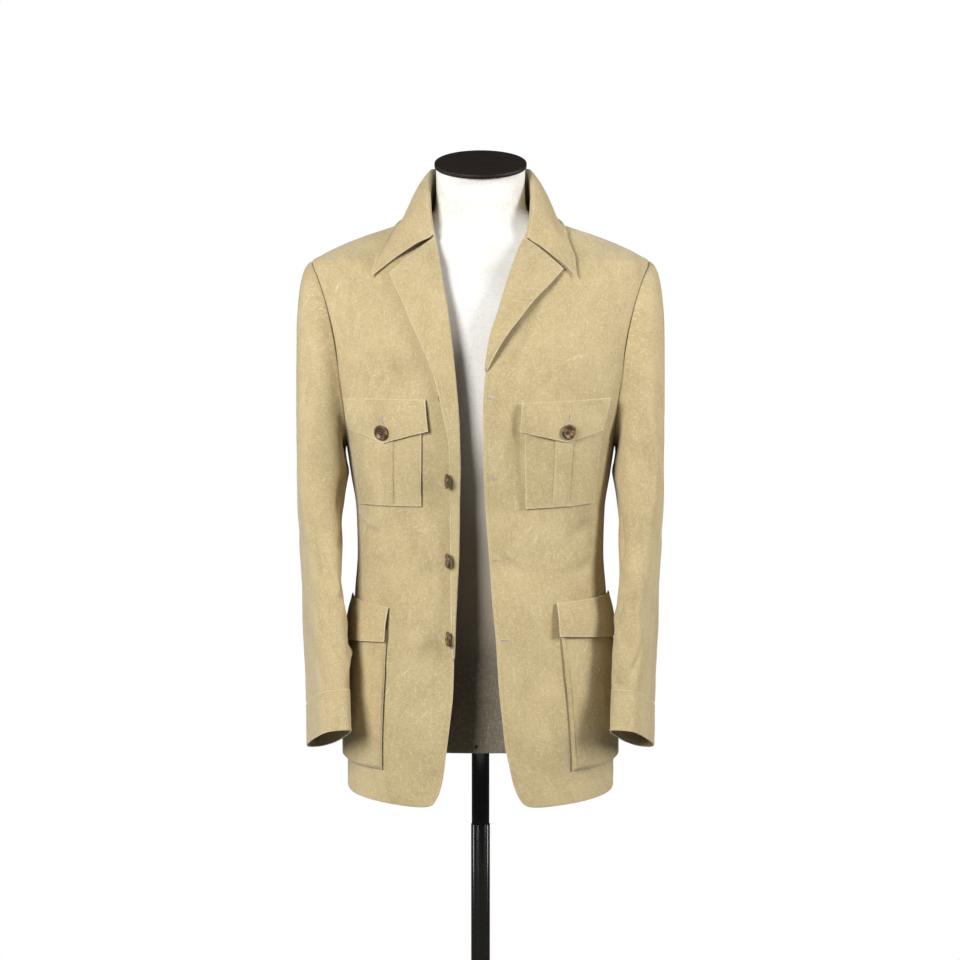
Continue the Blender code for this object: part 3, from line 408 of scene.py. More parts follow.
def front_relief(side, x, z):
    """The relief of a front panel at x (on the wearer's left) and z."""
    x, z = np.broadcast_arrays(np.asarray(x, float), np.asarray(z, float))
    points = np.stack([x, depth_at(x, z), z], -1)
    return body_relief(points, "front_" + side)[0]


# Cloth pieces

class Cloth:
    """A cloth piece: its outer surface as a grid of points, with its normals and wear."""

    def __init__(self, name, grid, closed=False, wall=WALL, worn=0.0, mirrored=False):
        if mirrored:
            grid = (np.array(grid, float) * (-1, 1, 1))[:, ::-1]
            worn = np.broadcast_to(worn, grid.shape[:2])[:, ::-1]
        self.name, self.closed, self.wall = name, closed, wall
        self.grid = np.array(grid, float)
        self.worn = np.array(np.broadcast_to(worn, self.grid.shape[:2]), float)
        self.measure()

    def measure(self):
        """Lengths along rows and columns, and normals."""
        g = self.grid
        across = np.linalg.norm(np.diff(g, axis=1), axis=2)
        up = np.linalg.norm(np.diff(g, axis=0), axis=2)
        self.across = np.concatenate([np.zeros((len(g), 1)), np.cumsum(across, 1)], 1)
        self.up = np.concatenate([np.zeros((1, g.shape[1])), np.cumsum(up, 0)], 0)
        if self.closed:
            wrapped = np.concatenate([g[:, -1:], g, g[:, :1]], 1)
            by_col = (wrapped[:, 2:] - wrapped[:, :-2])
        else:
            by_col = np.gradient(g, axis=1)
        normal = np.cross(by_col, np.gradient(g, axis=0))
        self.normals = normal / np.maximum(np.linalg.norm(normal, axis=2, keepdims=True), 1e-9)

    def raise_by(self, height):
        """Move the surface out along its normals."""
        self.grid = self.grid + self.normals * np.broadcast_to(
            height, self.grid.shape[:2])[..., None]
        self.measure()

    def from_edge(self, edge):
        """Distance of every point from one edge, measured along the cloth."""
        return {"left": self.across, "right": self.across[:, -1:] - self.across,
                "low": self.up, "high": self.up[-1:] - self.up}[edge]

    def edge_finish(self, edges, stitched, swell=0.5, wear=1.0):
        """Turned-in edges: thicker as far as their stitching, drawn in and puckered there."""
        height = np.zeros(self.grid.shape[:2])
        for edge in edges:
            far = self.from_edge(edge)
            along = self.up if edge in ("left", "right") else self.across
            pull = wander(np.stack([along, far * 0, along * 0], -1), 8.5, len(self.name))
            height += swell * (1 / (1 + np.exp(np.clip((far - stitched - 0.6) * 2.2, -40, 40))))
            height -= swell * 0.75 * np.exp(-(far / 0.8) ** 2)
            height -= (0.30 + 0.16 * pull) * np.exp(-((far - stitched) / 1.0) ** 2)
            height += 0.22 * pull * np.exp(-((far - stitched) / 4.5) ** 2)
            self.worn += wear * (0.75 + 0.35 * pull) * np.exp(-(far / 1.2) ** 2)
            self.worn += wear * 0.28 * np.exp(-((far - stitched + 1.4) / 1.3) ** 2)
        self.raise_by(height)

    def line(self, edge, inset, trim=(0, 0)):
        """Points and normals of a line that keeps its distance from one edge."""
        along_rows = edge in ("left", "right")
        grid = self.grid if along_rows else self.grid.transpose(1, 0, 2)
        normals = self.normals if along_rows else self.normals.transpose(1, 0, 2)
        far = self.from_edge(edge)
        far = far if along_rows else far.T
        if edge in ("right", "high"):
            grid, normals, far = grid[:, ::-1], normals[:, ::-1], far[:, ::-1]
        points, faces = [], []
        for row, normal, distance in zip(grid, normals, far):
            if distance[-1] < inset:
                continue
            points.append([np.interp(inset, distance, row[:, k]) for k in range(3)])
            faces.append([np.interp(inset, distance, normal[:, k]) for k in range(3)])
        points, faces = np.array(points), np.array(faces)
        run = run_of(points)
        keep = (run >= trim[0]) & (run <= run[-1] - trim[1])
        return points[keep], faces[keep]

    def build(self, material, node):
        """The mesh object, standing in for its CAD node."""
        outer = self.grid
        inner = outer - self.normals * self.wall
        rows, cols = outer.shape[:2]
        count = rows * cols
        wide = cols if self.closed else cols - 1
        r, c = np.meshgrid(np.arange(rows - 1), np.arange(wide), indexing="ij")
        d = (c + 1) % cols
        quads = np.stack([r * cols + c, r * cols + d, (r + 1) * cols + d, (r + 1) * cols + c],
                         -1).reshape(-1, 4)
        faces = [quads, quads[:, ::-1] + count]
        if self.closed:
            rims = [np.arange(cols), (rows - 1) * cols + np.arange(cols)[::-1]]
        else:
            rims = [np.concatenate([np.arange(cols), np.arange(1, rows) * cols + cols - 1,
                                    (rows - 1) * cols + np.arange(cols - 2, -1, -1),
                                    np.arange(rows - 2, 0, -1) * cols])]
        for rim in rims:
            nxt = np.roll(rim, -1)
            faces.append(np.stack([rim, rim + count, nxt + count, nxt], -1))
        points = np.concatenate([outer.reshape(-1, 3), inner.reshape(-1, 3)])
        made = mesh_object(self.name, points, np.concatenate(faces), material)
        mesh = made.data
        cut = mesh.uv_layers.new(name="cut")
        wide = self.across.mean(0)[None] + 0 * self.up if self.closed else self.across
        flat = np.stack([wide, self.up], -1).reshape(-1, 2) / 100
        corners = np.zeros(len(mesh.loops), int)
        mesh.loops.foreach_get("vertex_index", corners)
        cut.data.foreach_set("uv", np.concatenate([flat, flat])[corners].ravel())
        worn = mesh.attributes.new("worn", "FLOAT", "POINT")
        worn.data.foreach_set("value", np.tile(np.clip(self.worn, 0, 1).ravel(), 2))
        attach(made, "root")
        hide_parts(node)
        return made


def mesh_object(name, points, faces, material, smooth=True):
    """A mesh object from points in millimetres."""
    mesh = bpy.data.meshes.new(name)
    mesh.from_pydata((np.asarray(points, float) * MM).tolist(), [],
                     [list(map(int, face)) for face in faces])
    mesh.validate()
    mesh.update()
    mesh.materials.append(material)
    if smooth:
        mesh.shade_smooth()
    made = bpy.data.objects.new(name, mesh)
    bpy.context.collection.objects.link(made)
    return made


# Front and back panels

ARM_STEPS = np.concatenate([[0, 1, 2.4, 4], np.arange(6, 180, 2.2), [180]])
UNDERARM_SHARE = 0.6
FOLD_RADIUS = 2.8
LOW_ROWS = shares(480, (True, False))


def hem_height(x, half):
    """Height of the front hem, which rises a little towards the side."""
    return HEM_FRONT + (HEM_SIDE - HEM_FRONT) * np.clip(np.abs(x) / half, 0, 1) ** 2


def armhole(turns):
    """Points of the armhole seam on the wearer's left."""
    z = lookup(ARMHOLE, ARMHOLE_COLUMNS, "z", turns)
    y = lookup(ARMHOLE, ARMHOLE_COLUMNS, "depth", turns)
    return np.stack([width_at(y, z), y, z], -1)


def side_line(rear):
    """The side seam from the hem to the underarm, then the armhole to the shoulder."""
    z = np.linspace(HEM_SIDE, UNDERARM, 200)
    seam = spaced(np.stack([ring(z)[0], 0 * z, z], -1), LOW_ROWS)[:-1]
    turns = ARM_STEPS[::-1]
    return np.concatenate([seam, armhole(360 - turns if rear else turns)])


def climb():
    """Shares of the way up a middle edge that go with the rows of side_line."""
    upper = 1 - (1 - UNDERARM_SHARE) * ARM_STEPS[::-1] / 180
    return np.concatenate([LOW_ROWS[:-1] * UNDERARM_SHARE, upper])


def shoulder_line():
    """The shoulder seam from the collar to the shoulder point."""
    z = np.linspace(NECK_POINT, SHOULDER_POINT, 120)
    return np.stack([ring(z)[0], 0 * z, z], -1)


def front_panel(side):
    """One front panel, from its front edge or crease to the side seam and armhole."""
    foot = LAPEL[side][0][0]
    cols = shares(205)
    z = np.linspace(EDGE[side][0][0], EDGE[side][-1][0], 240)
    rise = np.where(z < foot, 0, fold_radius(z - foot)) + SEAM
    neck = np.array(NECKLINE, float)
    x = np.concatenate([lookup(EDGE[side], EDGE_COLUMNS, "x", z) + rise, neck[:, 1],
                        [ring(NECK_POINT)[0]]])
    z = np.concatenate([z, neck[:, 0], [NECK_POINT]])
    left = spaced(np.stack([x, depth_at(x, z), z], -1), climb())
    right = side_line(False)
    half, start = ring(HEM_SIDE)[0], left[0]
    x = start[0] + (half - start[0]) * np.sin(np.linspace(0, math.pi / 2, 200)) ** 0.8
    corner = np.exp(-(x - start[0]) / 7.0)
    z = hem_height(x, half) + (start[2] - hem_height(start[0], half)) * corner
    low = spaced(np.stack([x, depth_at(x, z), z], -1), cols)
    high = spaced(shoulder_line(), cols)
    low[-1], high[0], high[-1] = right[0], left[-1], right[-1]
    grid = patch(left, right, low, high, climb(), cols)
    height, worn = body_relief(grid, "front_" + side)
    grid = grid + outward(grid) * height[..., None]
    grid[..., 1] = np.minimum(grid[..., 1], -SEAM / 2)
    cloth = Cloth("front_%s_cloth" % side, grid, worn=worn, mirrored=side == "r")
    front_edge, side_edge = ("left", "right") if side == "l" else ("right", "left")
    cloth.edge_finish([front_edge], 6.0, swell=0.45)
    cloth.edge_finish([side_edge, "high"], 6.0, swell=0.25, wear=0.5)
    cloth.edge_finish(["low"], 22.0, swell=0.3, wear=0.9)
    cloth.build(CANVAS, "front_" + side)
    declare(cloth, (0.235, 0.775))
    stitching("front_%s_stitching" % side, [
        cloth.line(front_edge, 6.0, (8, 40)), cloth.line("low", 22.0, (14, 6)),
        cloth.line("low", 2.0, (6, 4))])
    return cloth


def back_panel():
    """The back in one piece, from side seam to side seam."""
    rows = climb()
    cols = shares(215, (False, True))
    neck_share = 0.24
    right = side_line(True)
    neck_z = np.linspace(NECK_POINT - 6, NECK_POINT, 60)
    neck_x = ring(NECK_POINT)[0] * np.sin(np.linspace(0, math.pi / 2, 60))
    neck = on_body(np.stack([neck_x, depth_at(neck_x, neck_z, True), neck_z], -1))
    inner = cols <= neck_share
    high = np.concatenate([spaced(neck, cols[inner] / neck_share),
                           spaced(shoulder_line(), (cols[~inner] - neck_share)
                                  / (1 - neck_share))])
    z = np.linspace(HEM_BACK, neck[0][2], 200)
    left = spaced(np.stack([0 * z, depth_at(0 * z, z, True), z], -1), rows)
    x = ring(HEM_SIDE)[0] * np.sin(np.linspace(0, math.pi / 2, 200)) ** 0.8
    z = HEM_BACK + (HEM_SIDE - HEM_BACK) * (x / x[-1]) ** 3
    low = spaced(np.stack([x, depth_at(x, z, True), z], -1), cols)
    low[-1], high[0], high[-1] = right[0], left[-1], right[-1]
    half = patch(left, right, low, high, rows, cols)
    whole = np.concatenate([half[:, :0:-1] * (-1, 1, 1), half], axis=1)[:, ::-1]
    height, worn = body_relief(whole, "back")
    whole = whole + outward(whole) * height[..., None]
    whole[..., 1] = np.maximum(whole[..., 1], SEAM / 2)
    cloth = Cloth("back_cloth", whole, worn=worn)
    cloth.edge_finish(["left", "right", "high"], 6.0, swell=0.25, wear=0.5)
    cloth.edge_finish(["low"], 22.0, swell=0.3, wear=0.9)
    cloth.build(CANVAS, "back")
    declare(cloth, (0.53, 0.75))
    stitching("back_stitching", [cloth.line("low", 22.0, (4, 4)),
                                        cloth.line("low", 2.0, (4, 4))])


LEAST_SHARE = 0.31  # of its flat rectangle, the least area that is worked out for a piece


def declare(cloth, flat):
    """Work out a piece's area from the built mesh, kept within its flat cut rectangle; it is not
    stored.

    The area is measured here and not known from the cut, so it can't show a wrong cut. It
    is raised to LEAST_SHARE of the rectangle where it is less, which changes lapel_r's.
    """
    g = cloth.grid
    if cloth.closed:
        g = np.concatenate([g, g[:, :1]], 1)
    a, b = g[1:, :-1] - g[:-1, :-1], g[:-1, 1:] - g[:-1, :-1]
    c, d = g[1:, :-1] - g[1:, 1:], g[:-1, 1:] - g[1:, 1:]
    area = (np.linalg.norm(np.cross(a, b), axis=2).sum()
            + np.linalg.norm(np.cross(c, d), axis=2).sum()) / 2 * MM * MM
    area = min(max(float(area), LEAST_SHARE * flat[0] * flat[1]), flat[0] * flat[1])


# Lapels and collar

def fold_radius(above):
    """Radius of the turned edge so far above the lapel's lower end, where it tapers away."""
    return FOLD_RADIUS * (0.12 + 0.88 * np.sin(np.clip(above / 34, 0, 1) * math.pi / 2))


LAPEL_LIFT = {"l": [4.8, 9.5, 8.0, 4.0], "r": [4.8, 5.0, 4.4, 3.4]}


def lapel(side):
    """The turned-out part of a front edge: round the crease, then flat over the panel."""
    free = np.array(LAPEL[side], float)
    low, top = free[0][0], EDGE[side][-1][0] + 3.5
    z = np.linspace(free[0][0], free[-1][0], 160)
    line = np.stack([curve_through(free[:, 0], free[:, 1], z), z], -1)
    rows = shares(run_of(line)[-1], (False, True))
    outer = spaced(line, rows)
    crease_z = low + (top - low) * rows
    crease_x = lookup(EDGE[side], EDGE_COLUMNS, "x", crease_z)
    lift = curve_through([1240, 1310, 1360, 1390], LAPEL_LIFT[side], outer[:, 1])
    radius = fold_radius(crease_z - low)
    turns = np.radians([28, 45, 62, 80, 97, 115, 133, 152, 170])
    reach = np.maximum(outer[:, 0] - crease_x - radius, 0.6)
    flat = 1 - shares(66, (True, False))[-2::-1]
    grid = []
    for x0, z0, (x1, z1), out_free, wide, r in zip(crease_x, crease_z, outer, lift, reach,
                                                   radius):
        x = np.concatenate([x0 + r * (1 - np.sin(turns)), x0 + r + wide * flat])
        rise = np.concatenate([0 * turns, (z1 - z0) * np.clip(
            (x[len(turns):] - x0) / max(x1 - x0, 1), 0, 1.2)])
        stand_off = out_free * min(r / FOLD_RADIUS, 1)
        out = np.concatenate([r * (1 - np.cos(turns)), 2 * r + (stand_off - 2 * r) * flat ** 2])
        base = front_relief(side, x, z0 + rise)
        grid.append(lifted(x, z0 + rise, out + base))
    grid = np.array(grid)[:, ::-1]
    height = 0.35 * wander(grid, 24, 5) + 0.12 * wander(grid, 9, 3)
    cloth = Cloth("lapel_%s_cloth" % side, grid, mirrored=side == "r")
    calm = np.clip(cloth.from_edge("left" if side == "l" else "right") / 10, 0.2, 1)
    cloth.raise_by(height[:, ::-1 if side == "r" else 1] * calm)
    free_edge, crease = ("left", "right") if side == "l" else ("right", "left")
    cloth.edge_finish([free_edge, "high"], 5.5, swell=0.4)
    cloth.worn += 0.45 * np.exp(-((cloth.from_edge(crease) - 4.5) / 2.2) ** 2)
    cloth.build(CANVAS, "lapel_" + side)
    flat_size = (0.092, 0.55) if side == "r" else (0.1, 0.2)
    declare(cloth, flat_size)
    stitching("lapel_%s_stitching" % side, [
        cloth.line(free_edge, 5.5, (10, 6)), cloth.line("high", 5.5, (6, 8))])


def collar():
    """Stand and fall in one folded sheet, round the neck from one front end to the other."""
    stops = shares(190, (True, False))
    fine = np.concatenate([np.linspace(0, 0.33, 12), np.linspace(0.345, 0.45, 8),
                           0.45 + 0.55 * shares(82, (False, True), 2.6)[1:]])
    half, other = (collar_half(stops, fine, side) for side in ("l", "r"))
    whole = np.concatenate([half, (other[:, :-1] * (-1, 1, 1))[:, ::-1]], axis=1)[::-1]
    cloth = Cloth("collar_cloth", whole, wall=1.5)
    calm = np.clip(cloth.from_edge("high") / 30, 0.15, 1)
    cloth.raise_by((0.5 * wander(whole, 30, 2) + 0.12 * wander(whole, 11, 4)) * calm)
    cloth.edge_finish(["low", "left", "right"], 5.5, swell=0.4)
    cloth.worn += 0.5 * np.exp(-((np.arange(len(whole))[:, None] - (len(fine) - 17)) / 2.5) ** 2)
    cloth.build(CANVAS, "collar")
    declare(cloth, (0.46, 0.16))
    stitching("collar_stitching", [
        cloth.line("low", 5.5, (6, 6)), cloth.line("left", 5.5, (6, 45)),
        cloth.line("right", 5.5, (6, 45))])


def collar_half(stops, fine, side):
    """One half of the collar, seen as on the wearer's left, from its seam to its edge."""

    def at(name):
        return lookup(COLLAR, COLLAR_COLUMNS, name, stops)
    seam, fold, edge = (np.stack([at(part + axis) for axis in ("_x", "_y", "_z")], -1)
                        for part in ("seam", "fold", "edge"))
    rows = COLLAR_SIDE[side]
    edge[:, 0] += lookup(rows, COLLAR_SIDE_COLUMNS, "edge_x", stops)
    edge[:, 2] += lookup(rows, COLLAR_SIDE_COLUMNS, "edge_z", stops)
    fold[:, 2] += lookup(rows, COLLAR_SIDE_COLUMNS, "fold_z", stops)
    away = edge - fold
    away[:, 2] = 0
    away /= np.linalg.norm(away, axis=1, keepdims=True)
    up = np.array([0, 0, 1.0])
    seam = seam + away * 0.5 + up * 1.2
    over = fold + away * 6.5 - up * 1.5
    lines = [seam, seam + (fold - up * 3 - seam) * 0.5 - away * 0.8, fold - up * 3,
             fold + away * 1.2 + up * 0.2, fold + away * 3.6 + up * 1.0, over]
    for share in (0.2, 0.45, 0.7, 0.9, 1.0):
        flat = over + (edge - over) * share
        bulge = 5.0 * math.sin(math.pi * share ** 0.8)
        lines.append(clear_of_body(flat + away * bulge * 0.4 + up * bulge * 0.6, 4.2))
    lines = np.stack(lines, 0)
    places = [0, 0.18, 0.33, 0.37, 0.41, 0.45, 0.56, 0.7, 0.84, 0.95, 1.0]
    return np.stack([np.stack([curve_through(places, lines[:, j, k], fine)
                               for k in range(3)], -1) for j in range(len(stops))], 1)


# Sleeves and cuffs

def oval(row, turns):
    """A loop of a sleeve, from its outer side forward and round."""
    z, x, y, long, short, toe, pitch = row
    toe, pitch = math.radians(toe), math.radians(pitch)
    forward = np.array([-math.sin(toe) * math.cos(pitch), -math.cos(toe) * math.cos(pitch),
                        math.sin(pitch)])
    outer = np.array([math.cos(toe), -math.sin(toe), 0])
    angle = np.radians(turns)[:, None]
    square = np.where(np.sin(angle) > 0, 0.55, 0.85)
    side, front = (np.sign(v) * np.abs(v) ** square for v in (np.cos(angle), np.sin(angle)))
    return np.array([x, y, z]) + short * side * outer + long * front * forward


def sleeve(side):
    """A sleeve: its head curves from the armhole into the flat tube that hangs below."""
    turns = np.linspace(0, 360, 105)[:-1]
    start = armhole(turns)
    first = oval(SLEEVE[0], turns)
    angle = np.radians(turns)[:, None]
    leave = np.concatenate([0.85 + 0.15 * np.cos(angle), -0.35 * np.sin(angle),
                            0.05 * np.cos(angle) - 0.2], axis=1)
    leave /= np.linalg.norm(leave, axis=1, keepdims=True)
    drop = start[:, 2:] - first[:, 2:]
    start = start + leave * (SEAM + 0.25)
    pull = 6 + drop * 0.075
    one = start + leave * pull
    two = first + np.array([0, 0, 1.0]) * drop * 0.55
    head = []
    for t in np.concatenate([[0, 0.008, 0.018, 0.03, 0.045], np.linspace(0.065, 0.985, 46)]):
        head.append((1 - t) ** 3 * start + 3 * t * (1 - t) ** 2 * one
                    + 3 * t * t * (1 - t) * two + t ** 3 * first)
    heights = SLEEVE[0][0] - (SLEEVE[0][0] - SLEEVE[-1][0]) * shares(285, (False, True), 3.4)
    tube = [oval([z] + [float(lookup(SLEEVE[::-1], SLEEVE_COLUMNS, name, z))
                        for name in SLEEVE_COLUMNS[1:]], turns) for z in heights]
    loops = np.array(head + tube)[::-1]
    around = np.broadcast_to(turns, loops.shape[:2])
    height, worn = 0, 0
    up = loops[..., 2]
    for lap in (-360, 0, 360):
        table = [(a + lap, az, b + lap, bz, bow, width, depth, wear)
                 for a, az, b, bz, bow, width, depth, wear in SLEEVE_FOLDS[side]]
        more, wear = folds_at(around, up, table)
        height, worn = height + more, worn + wear
    height = height + 1.3 * wander(loops, 48, 9) + 0.5 * wander(loops, 20, 1) \
        + 0.08 * wander(loops, 9, 6)
    share = np.linspace(0, 1, len(loops))[::-1][:, None]
    calm = np.clip(share * 16, 0, 1) * np.clip((1 - share) * 22, 0, 1)
    head_only = np.clip((up - 1180) / 60, 0, 1)
    height = height * calm * (1 - 0.55 * head_only)
    cloth = Cloth("sleeve_%s_cloth" % side, loops[:, ::-1], closed=True,
                  worn=worn[:, ::-1], mirrored=side == "r")
    cloth.raise_by(height if side == "r" else height[:, ::-1])
    cloth.grid = clear_sleeve(cloth.grid)
    cloth.measure()
    cloth.edge_finish(["high"], 5.0, swell=0.3, wear=0.6)
    cloth.build(CANVAS, "sleeve_" + side)
    declare(cloth, (0.46, 0.63))
    stitching("sleeve_%s_stitching" % side, [cloth.line("low", 5.0)])


def clear_sleeve(loops):
    """Sleeve points below the armhole, kept just clear of the jacket's side."""
    below = loops[..., 2] < UNDERARM + 12
    mirror = np.where(loops[..., :1] < 0, (-1.0, 1, 1), (1.0, 1, 1))
    moved = clear_of_body(loops * mirror, 2.0) * mirror
    return np.where(below[..., None], moved, loops)


def cuff(side):
    """The band at the end of a sleeve."""
    turns = np.linspace(0, 360, 93)[:-1]
    heights = CUFF[0][0] - (CUFF[0][0] - CUFF[-1][0]) * shares(50, (True, True), 2.6)
    columns = ("z", "x", "y", "long", "short", "toe", "pitch")
    loops = [oval([z] + [float(lookup(CUFF[::-1], columns, name, z)) for name in columns[1:]],
                  turns) for z in heights][::-1]
    cloth = Cloth("cuff_%s_cloth" % side, np.array(loops)[:, ::-1], closed=True, wall=2.2,
                  mirrored=side == "r")
    cloth.raise_by(0.45 * wander(cloth.grid, 26, 3) + 0.15 * wander(cloth.grid, 9, 8))
    cloth.edge_finish(["low"], 5.5, swell=0.35)
    cloth.edge_finish(["high"], 2.0, swell=0.35)
    cloth.build(CANVAS, "cuff_" + side)
    declare(cloth, (0.28, 0.055))
    stitching("cuff_%s_stitching" % side, [
        cloth.line("low", 5.5), cloth.line("high", 2.0), cloth.line("high", 8.0)])


# Pockets

LYING, SOLID = 1.1, 1.6
POCKET_OUT = LYING + SOLID


def on_front(side, rounds, feet, tops, bottoms, out, us, vs):
    """A grid on the front between four corners, standing out of its folds by out."""
    u, v = us[None, :], vs[:, None]
    low = bottoms[0] + (bottoms[1] - bottoms[0]) * u
    high = tops[0] + (tops[1] - tops[0]) * u
    z = low + (high - low) * v
    start = feet[0] + (rounds[0] - feet[0]) * v
    end = feet[1] + (rounds[1] - feet[1]) * v
    x = round_to_x(start + (end - start) * u, z)
    return lifted(x, z, np.broadcast_to(out, z.shape) + front_relief(side, x, z))


def breast_pocket(side):
    """A patch pocket with a box pleat down its middle."""
    size = BREAST[side]
    middle, width = size["pleat"], 104.0
    us = shares(width, step=2.4)
    us = np.unique(np.concatenate([us, middle + np.array(
        [-0.112, -0.107, -0.103, -0.098, 0.098, 0.103, 0.107, 0.112])]))
    vs = shares(113, step=2.8)
    raised = np.interp(us, [0, middle - 0.112, middle - 0.102, middle, middle + 0.102,
                            middle + 0.112, 1], [0, 0, 1.5, 1.7, 1.3, 0, 0])
    gape = np.exp(-((us - (middle - 0.115)) / 0.012) ** 2) * 0.7
    pleat = np.interp(vs, [0, 0.02, 0.12, 0.7, 0.9, 1], [0, 0.35, 1, 1, 0.4, 0])
    out = POCKET_OUT + pleat[:, None] * (raised - gape)[None]
    grid = on_front(side, size["round"], size["foot"], size["top"], size["bottom"], out, us, vs)
    cloth = Cloth("breast_pocket_%s_cloth" % side, grid, wall=1.0, mirrored=side == "r")
    cloth.raise_by(0.25 * wander(cloth.grid, 22, 4) + 0.1 * wander(cloth.grid, 8, 2))
    lean = us if side == "l" else 1 - us[::-1]
    middle = middle if side == "l" else 1 - middle
    for place in (middle - 0.104, middle + 0.104):
        cloth.worn += 0.55 * np.exp(-((lean - place) / 0.011) ** 2)[None] * 0.9
    cloth.edge_finish(["left", "right", "low"], 2.0, swell=0.3)
    cloth.build(CANVAS, "breast_pocket_" + side)
    declare(cloth, (0.16, 0.13))
    stitching("breast_pocket_%s_stitching" % side, [
        cloth.line(edge, 2.0, (2, 2)) for edge in ("left", "right", "low")])


def breast_flap(side):
    """The pointed flap over a breast pocket, its buttonhole and its button."""
    size = BREAST[side]
    tip = size["pleat"] + 0.06
    point = size["flap_side"][0] - size["point"]
    us = np.unique(np.concatenate([shares(112, step=2.6), [tip]]))
    vs = shares(44, step=2.4)
    dip = point * np.where(us < tip, us / tip, (1 - us) / (1 - tip))
    u, v = us[None, :], vs[:, None]
    low = size["flap_side"][0] + (size["flap_side"][1] - size["flap_side"][0]) * u - dip[None]
    high = size["flap_top"][0] + (size["flap_top"][1] - size["flap_top"][0]) * u
    z = low + (high - low) * v
    start, end = size["flap_round"]
    x = round_to_x(start + (end - start) * u, z)
    out = curve_through([0, 0.35, 0.7, 1], [6.2, 6.1, 5.4, 2.9], vs)[:, None] + 0 * x
    press = np.hypot(x - round_to_x(start + (end - start) * tip, size["point"] + 14.5),
                     z - size["point"] - 14.5)
    out = out - 0.5 * np.exp(-(press / 13) ** 2)
    grid = lifted(x, z, out + front_relief(side, x, z))
    cloth = Cloth("breast_flap_%s_cloth" % side, grid, mirrored=side == "r")
    cloth.raise_by(0.3 * wander(cloth.grid, 20, 7) + 0.1 * wander(cloth.grid, 8, 5))
    cloth.edge_finish(["left", "right", "low"], 2.0, swell=0.3)
    cloth.edge_finish(["high"], 6.0, swell=0.4)
    cloth.build(CANVAS, "breast_flap_" + side)
    declare(cloth, (0.118, 0.058))
    stitching("breast_flap_%s_stitching" % side, flap_lines(cloth))
    sign = 1 if side == "l" else -1
    z = size["point"] + 14.5
    x = float(round_to_x(start + (end - start) * tip, z))
    slit = []
    for height in np.linspace(z + 7, z + 22, 16):
        xh = float(round_to_x(start + (end - start) * tip, height))
        slit.append(nearest_on(cloth, np.array([sign * xh, depth_at(xh, height) - 5, height])))
    buttonhole("breast_flap_%s_buttonhole" % side, slit)
    on = lifted(x, z, 5.9 + 0.9 + BUTTON_THICK / 2)
    facing = outward(lifted(x, z, 0))
    button("flap_button_" + side, on * (sign, 1, 1), facing * (sign, 1, 1))


def flap_lines(cloth):
    """One row of stitches round a flap and two along its top."""
    rows = (("left", 2.0), ("right", 2.0), ("low", 2.0), ("high", 1.6), ("high", 6.5))
    return [cloth.line(edge, inset, (2, 2)) for edge, inset in rows]


def hip_pocket(side):
    """A bellows pocket: its face stands off the panel on a folded side."""
    size = HIP[side]
    us = np.unique(np.concatenate([shares(125, step=2.8), [0.014, 0.026, 0.034, 0.965, 0.975]]))
    vs = shares(184, step=3.0)
    across = np.interp(us, [0, 0.012, 0.03, 0.05, 0.95, 0.97, 1], [0, 0.1, 0.9, 1, 1, 0.9, 0])
    up = np.interp(vs, [0, 0.008, 0.02, 0.04, 0.7, 0.9, 1], [0, 0.1, 0.85, 1, 1, 0.4, 0])
    out = POCKET_OUT + 4.5 * up[:, None] * across[None]
    grid = on_front(side, size["round"], size["foot"], size["top"], size["bottom"], out, us, vs)
    cloth = Cloth("hip_pocket_%s_cloth" % side, grid, wall=1.0, mirrored=side == "r")
    cloth.raise_by(0.7 * wander(cloth.grid, 42, 11) + 0.25 * wander(cloth.grid, 17, 4)
                   + 0.1 * wander(cloth.grid, 8, 2))
    cloth.edge_finish(["left", "right", "low"], 7.0, swell=0.25, wear=0.6)
    cloth.build(CANVAS, "hip_pocket_" + side)
    declare(cloth, (0.15, 0.2))
    front_edge = "left" if side == "l" else "right"
    stitching("hip_pocket_%s_stitching" % side, [
        cloth.line(front_edge, 7.0, (6, 4)), cloth.line("low", 7.0, (6, 4)),
        cloth.line(front_edge, 1.0, (2, 4)), cloth.line("low", 1.0, (2, 4))])


def hip_flap(side):
    """The flap over a hip pocket."""
    size = HIP[side]
    us = shares(118, step=2.8)
    vs = shares(48, step=2.4)
    out = curve_through([0, 0.35, 0.7, 1], [9.0, 8.4, 6.4, 2.9], vs)[:, None] + 0 * us[None]
    grid = on_front(side, size["flap_round"], size["flap_round"], size["flap_top"],
                    size["flap_side"], out, us, vs)
    cloth = Cloth("hip_flap_%s_cloth" % side, grid, mirrored=side == "r")
    cloth.raise_by(0.5 * wander(cloth.grid, 28, 3) + 0.12 * wander(cloth.grid, 8, 9))
    cloth.edge_finish(["left", "right", "low"], 2.0, swell=0.3)
    cloth.edge_finish(["high"], 6.5, swell=0.4)
    cloth.build(CANVAS, "hip_flap_" + side)
    declare(cloth, (0.125, 0.062))
    stitching("hip_flap_%s_stitching" % side, flap_lines(cloth))


# Sewing

def nearest_on(cloth, point):
    """The grid point of a cloth nearest to a place, with its normal."""
    far = np.linalg.norm(cloth.grid - point, axis=2)
    index = np.unravel_index(np.argmin(far), far.shape)
    normal = cloth.normals[index]
    place = point + normal * ((cloth.grid[index] - point) @ normal)
    return place, normal


